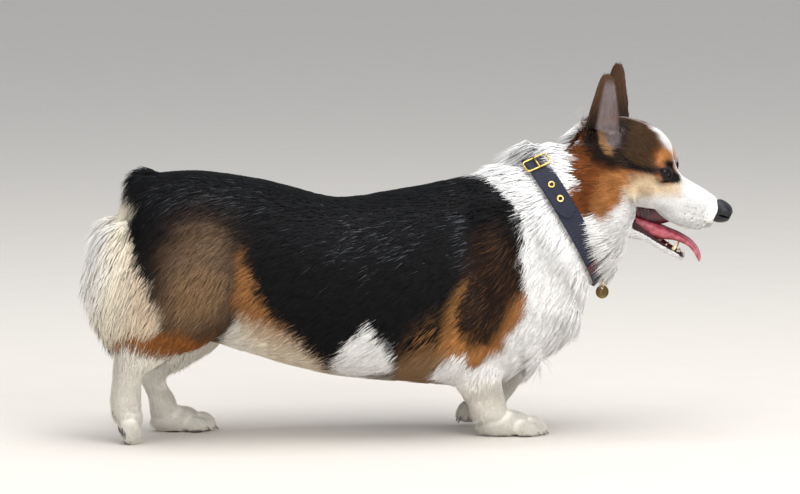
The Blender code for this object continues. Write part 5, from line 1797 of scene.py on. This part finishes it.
FLESH = ("torso", "neck", "tail", "head", "lower_jaw", "ear_left", "ear_right", "foreleg_left",
         "foreleg_right", "forepaw_left", "forepaw_right", "thigh_left", "thigh_right",
         "hock_left", "hock_right", "hindpaw_left", "hindpaw_right")


def dressed(piece, material, slot, *replaced):
    """Gives a piece its material and rides it on the body. The slot is not used."""
    piece.data.materials.clear()
    piece.data.materials.append(material)
    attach(piece, "root")
    if replaced:
        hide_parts(*replaced)
    return piece


class CorgiSettings(bpy.types.PropertyGroup):
    """Sizes and colours that a user would change."""
    tufts: bpy.props.IntProperty(
        name="Tufts", description="Places for tufts on the skin, bare ones too", default=235000,
        min=1000, max=250000)
    iris: bpy.props.FloatVectorProperty(
        name="Iris", description="Colour of the iris", default=hexed("#1e0e07"), size=4,
        subtype="COLOR", min=0, max=1)
    nose: bpy.props.FloatVectorProperty(
        name="Nose", description="Colour of the nose", default=hexed(FINISHES["nose"][2]),
        size=4, subtype="COLOR", min=0, max=1)
    webbing: bpy.props.FloatVectorProperty(
        name="Webbing", description="Colour of the collar", default=hexed("#151b36"), size=4,
        subtype="COLOR", min=0, max=1)
    floor: bpy.props.FloatVectorProperty(
        name="Floor", description="Colour of the floor and backdrop", default=hexed("#e0d9d0"),
        size=4, subtype="COLOR", min=0, max=1)
    distance: bpy.props.FloatProperty(
        name="Camera distance", description="From the camera to the middle of the animal",
        default=6.0, min=2.0, unit="LENGTH", subtype="DISTANCE")
    height: bpy.props.FloatProperty(
        name="Camera tilt", description="How far the camera looks down",
        default=CHART_TILT, unit="ROTATION", subtype="ANGLE")
    turn: bpy.props.FloatProperty(
        name="Camera turn", description="How far the camera stands round from square on",
        default=CHART_TURN, unit="ROTATION", subtype="ANGLE")


class CORGI_OT_skin(bpy.types.Operator):
    """Make the skin under the coat"""
    bl_idname = "corgi.skin"
    bl_label = "Skin"

    def execute(self, context):
        skin = add_skin()
        paint_skin(skin)
        unwrap(skin)
        dressed(skin, coated_skin(), "coat_white", *FLESH)
        return {"FINISHED"}


class CORGI_OT_coat(bpy.types.Operator):
    """Make the hair, in tufts that follow its lie"""
    bl_idname = "corgi.coat"
    bl_label = "Coat"

    def execute(self, context):
        hair = dog_hair()
        pieces = add_coat(bpy.data.objects["skin"], context.scene.corgi.tufts)
        for piece in pieces:
            dressed(piece, hair, "coat_white")
        return {"FINISHED"}


class CORGI_OT_eyes(bpy.types.Operator):
    """Make both eyes and the rims of their lids"""
    bl_idname = "corgi.eyes"
    bl_label = "Eyes"

    def execute(self, context):
        cornea = wet_cornea(tuple(context.scene.corgi.iris))
        for side, replaced in ((-1, "eye_right"), (1, "eye_left")):
            dressed(add_eye(side), cornea, "eye", replaced)
        dressed(add_lids(), made_of("lid"), "nose_leather")
        return {"FINISHED"}


class CORGI_OT_muzzle(bpy.types.Operator):
    """Make the nose, tongue, teeth and whiskers"""
    bl_idname = "corgi.muzzle"
    bl_label = "Nose, mouth and whiskers"

    def execute(self, context):
        leather = made_of("nose", tuple(context.scene.corgi.nose))
        dressed(add_nose(), leather, "nose_leather", "nose")
        dressed(add_tongue(), made_of("tongue"), "tongue", "tongue")
        dressed(add_lining(), made_of("mouth"), "tongue")
        dressed(add_teeth(), made_of("tooth"), "coat_white")
        hairs, roots = add_whiskers(bpy.data.objects["skin"])
        dressed(hairs, made_of("whisker"), "coat_white")
        dressed(roots, made_of("root"), "nose_leather")
        return {"FINISHED"}


class CORGI_OT_feet(bpy.types.Operator):
    """Make the claws and the pads of the paws"""
    bl_idname = "corgi.feet"
    bl_label = "Claws and pads"

    def execute(self, context):
        dressed(add_claws(), made_of("claw"), "nose_leather")
        dressed(add_pads(), made_of("pad"), "nose_leather")
        return {"FINISHED"}


class CORGI_OT_collar(bpy.types.Operator):
    """Make the collar, its metal fittings and its tag"""
    bl_idname = "corgi.collar"
    bl_label = "Collar and tag"

    def execute(self, context):
        webbing = nylon_webbing(tuple(context.scene.corgi.webbing))
        band, end, keeper = add_band()
        dressed(band, webbing, "webbing", "collar")
        dressed(end, webbing, "webbing")
        dressed(keeper, made_of("leather"), "webbing")
        brass = cast_brass("Brass, polished", "#b8923c", "#f0d384", 0.22)
        worn = cast_brass("Brass, tarnished", "#514329", "#625130", 0.4)
        dressed(add_buckle(), brass, "brass", "collar_buckle")
        dressed(add_eyelets(), brass, "brass", "collar_eyelet_1", "collar_eyelet_2")
        dressed(add_hangers(), brass, "brass", "collar_ring")
        dressed(add_tag(), worn, "brass", "tag")
        return {"FINISHED"}


class CORGI_OT_stage(bpy.types.Operator):
    """Make the floor, the lights and the camera"""
    bl_idname = "corgi.stage"
    bl_label = "Stage"

    def execute(self, context):
        settings = context.scene.corgi
        add_floor(tuple(settings.floor))
        add_lights()
        add_camera(settings.distance, settings.height, settings.turn)
        context.scene.view_settings.view_transform = "Standard"
        return {"FINISHED"}


def add_floor(colour):
    """A wide pale floor that reaches past every view."""
    fresh()
    bpy.ops.mesh.primitive_grid_add(x_subdivisions=60, y_subdivisions=60, size=80.0)
    floor = bpy.context.object
    floor.name = "floor"
    floor.data.shade_smooth()
    floor.data.materials.append(studio_paper(colour))


# Soft lamps: name, place and size in metres, and watts.
LAMPS = (("top", (0.1, -0.5, 3.0), 3.2, 88), ("front", (1.6, -3.2, 1.7), 2.2, 64),
         ("rear", (-2.6, -2.0, 1.5), 2.0, 20))


def add_lights():
    """A pale even sky, and three soft lamps that face the animal."""
    world = bpy.data.worlds.new("Studio")
    bpy.context.scene.world = world
    world.use_nodes = True
    sky = world.node_tree.nodes["Background"]
    sky.inputs["Color"].default_value = hexed("#e8eef6")
    sky.inputs["Strength"].default_value = 0.66
    for name, place, size, watts in LAMPS:
        data = bpy.data.lights.new(name, "AREA")
        data.energy = watts
        data.size = size
        lamp = bpy.data.objects.new(name, data)
        lamp.location = place
        lamp.rotation_euler = (Vector((0, 0, 0.2)) - lamp.location).to_track_quat(
            "-Z", "Y").to_euler()
        bpy.context.scene.collection.objects.link(lamp)


SENSOR = 36                  # the sensor's width in millimetres


def add_camera(distance, height, turn):
    """The camera of the photograph: a long lens, a little in front of square on. The photo's
    width of 800 steps of the chart fills the frame at the animal's middle."""
    data = bpy.data.cameras.new("camera")
    data.sensor_width = SENSOR
    data.lens = SENSOR * distance / (800 * CHART_STEP * MM)
    data.clip_end = 60
    target = Vector((-8, 0, 210)) + Vector(ORIGIN)
    look = Vector((math.sin(turn) * math.cos(height), math.cos(turn) * math.cos(height),
                   -math.sin(height)))
    camera = bpy.data.objects.new("camera", data)
    camera.location = target * MM - look * distance
    camera.rotation_euler = look.to_track_quat("-Z", "Y").to_euler()
    bpy.context.scene.collection.objects.link(camera)
    bpy.context.scene.camera = camera


class CORGI_PT_panel(bpy.types.Panel):
    bl_label = "Corgi model"
    bl_idname = "CORGI_PT_panel"
    bl_space_type = "VIEW_3D"
    bl_region_type = "UI"
    bl_category = "Corgi"

    def draw(self, context):
        settings = context.scene.corgi
        for field in CorgiSettings.__annotations__:
            self.layout.prop(settings, field)
        for step in STEPS:
            self.layout.operator(step.bl_idname)


STEPS = (CORGI_OT_skin, CORGI_OT_coat, CORGI_OT_eyes, CORGI_OT_muzzle, CORGI_OT_feet,
         CORGI_OT_collar, CORGI_OT_stage)
CLASSES = (CorgiSettings, *STEPS, CORGI_PT_panel)


def register():
    """Registers the settings, the steps and the panel."""
    for kind in CLASSES:
        bpy.utils.register_class(kind)
    bpy.types.Scene.corgi = bpy.props.PointerProperty(type=CorgiSettings)


def unregister():
    """Takes all of them away again."""
    del bpy.types.Scene.corgi
    for kind in reversed(CLASSES):
        bpy.utils.unregister_class(kind)


def main():
    """Makes the whole scene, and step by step."""
    register()
    for step in STEPS:
        group, name = step.bl_idname.split(".")
        getattr(getattr(bpy.ops, group), name)()


if __name__ == "__main__":
    main()
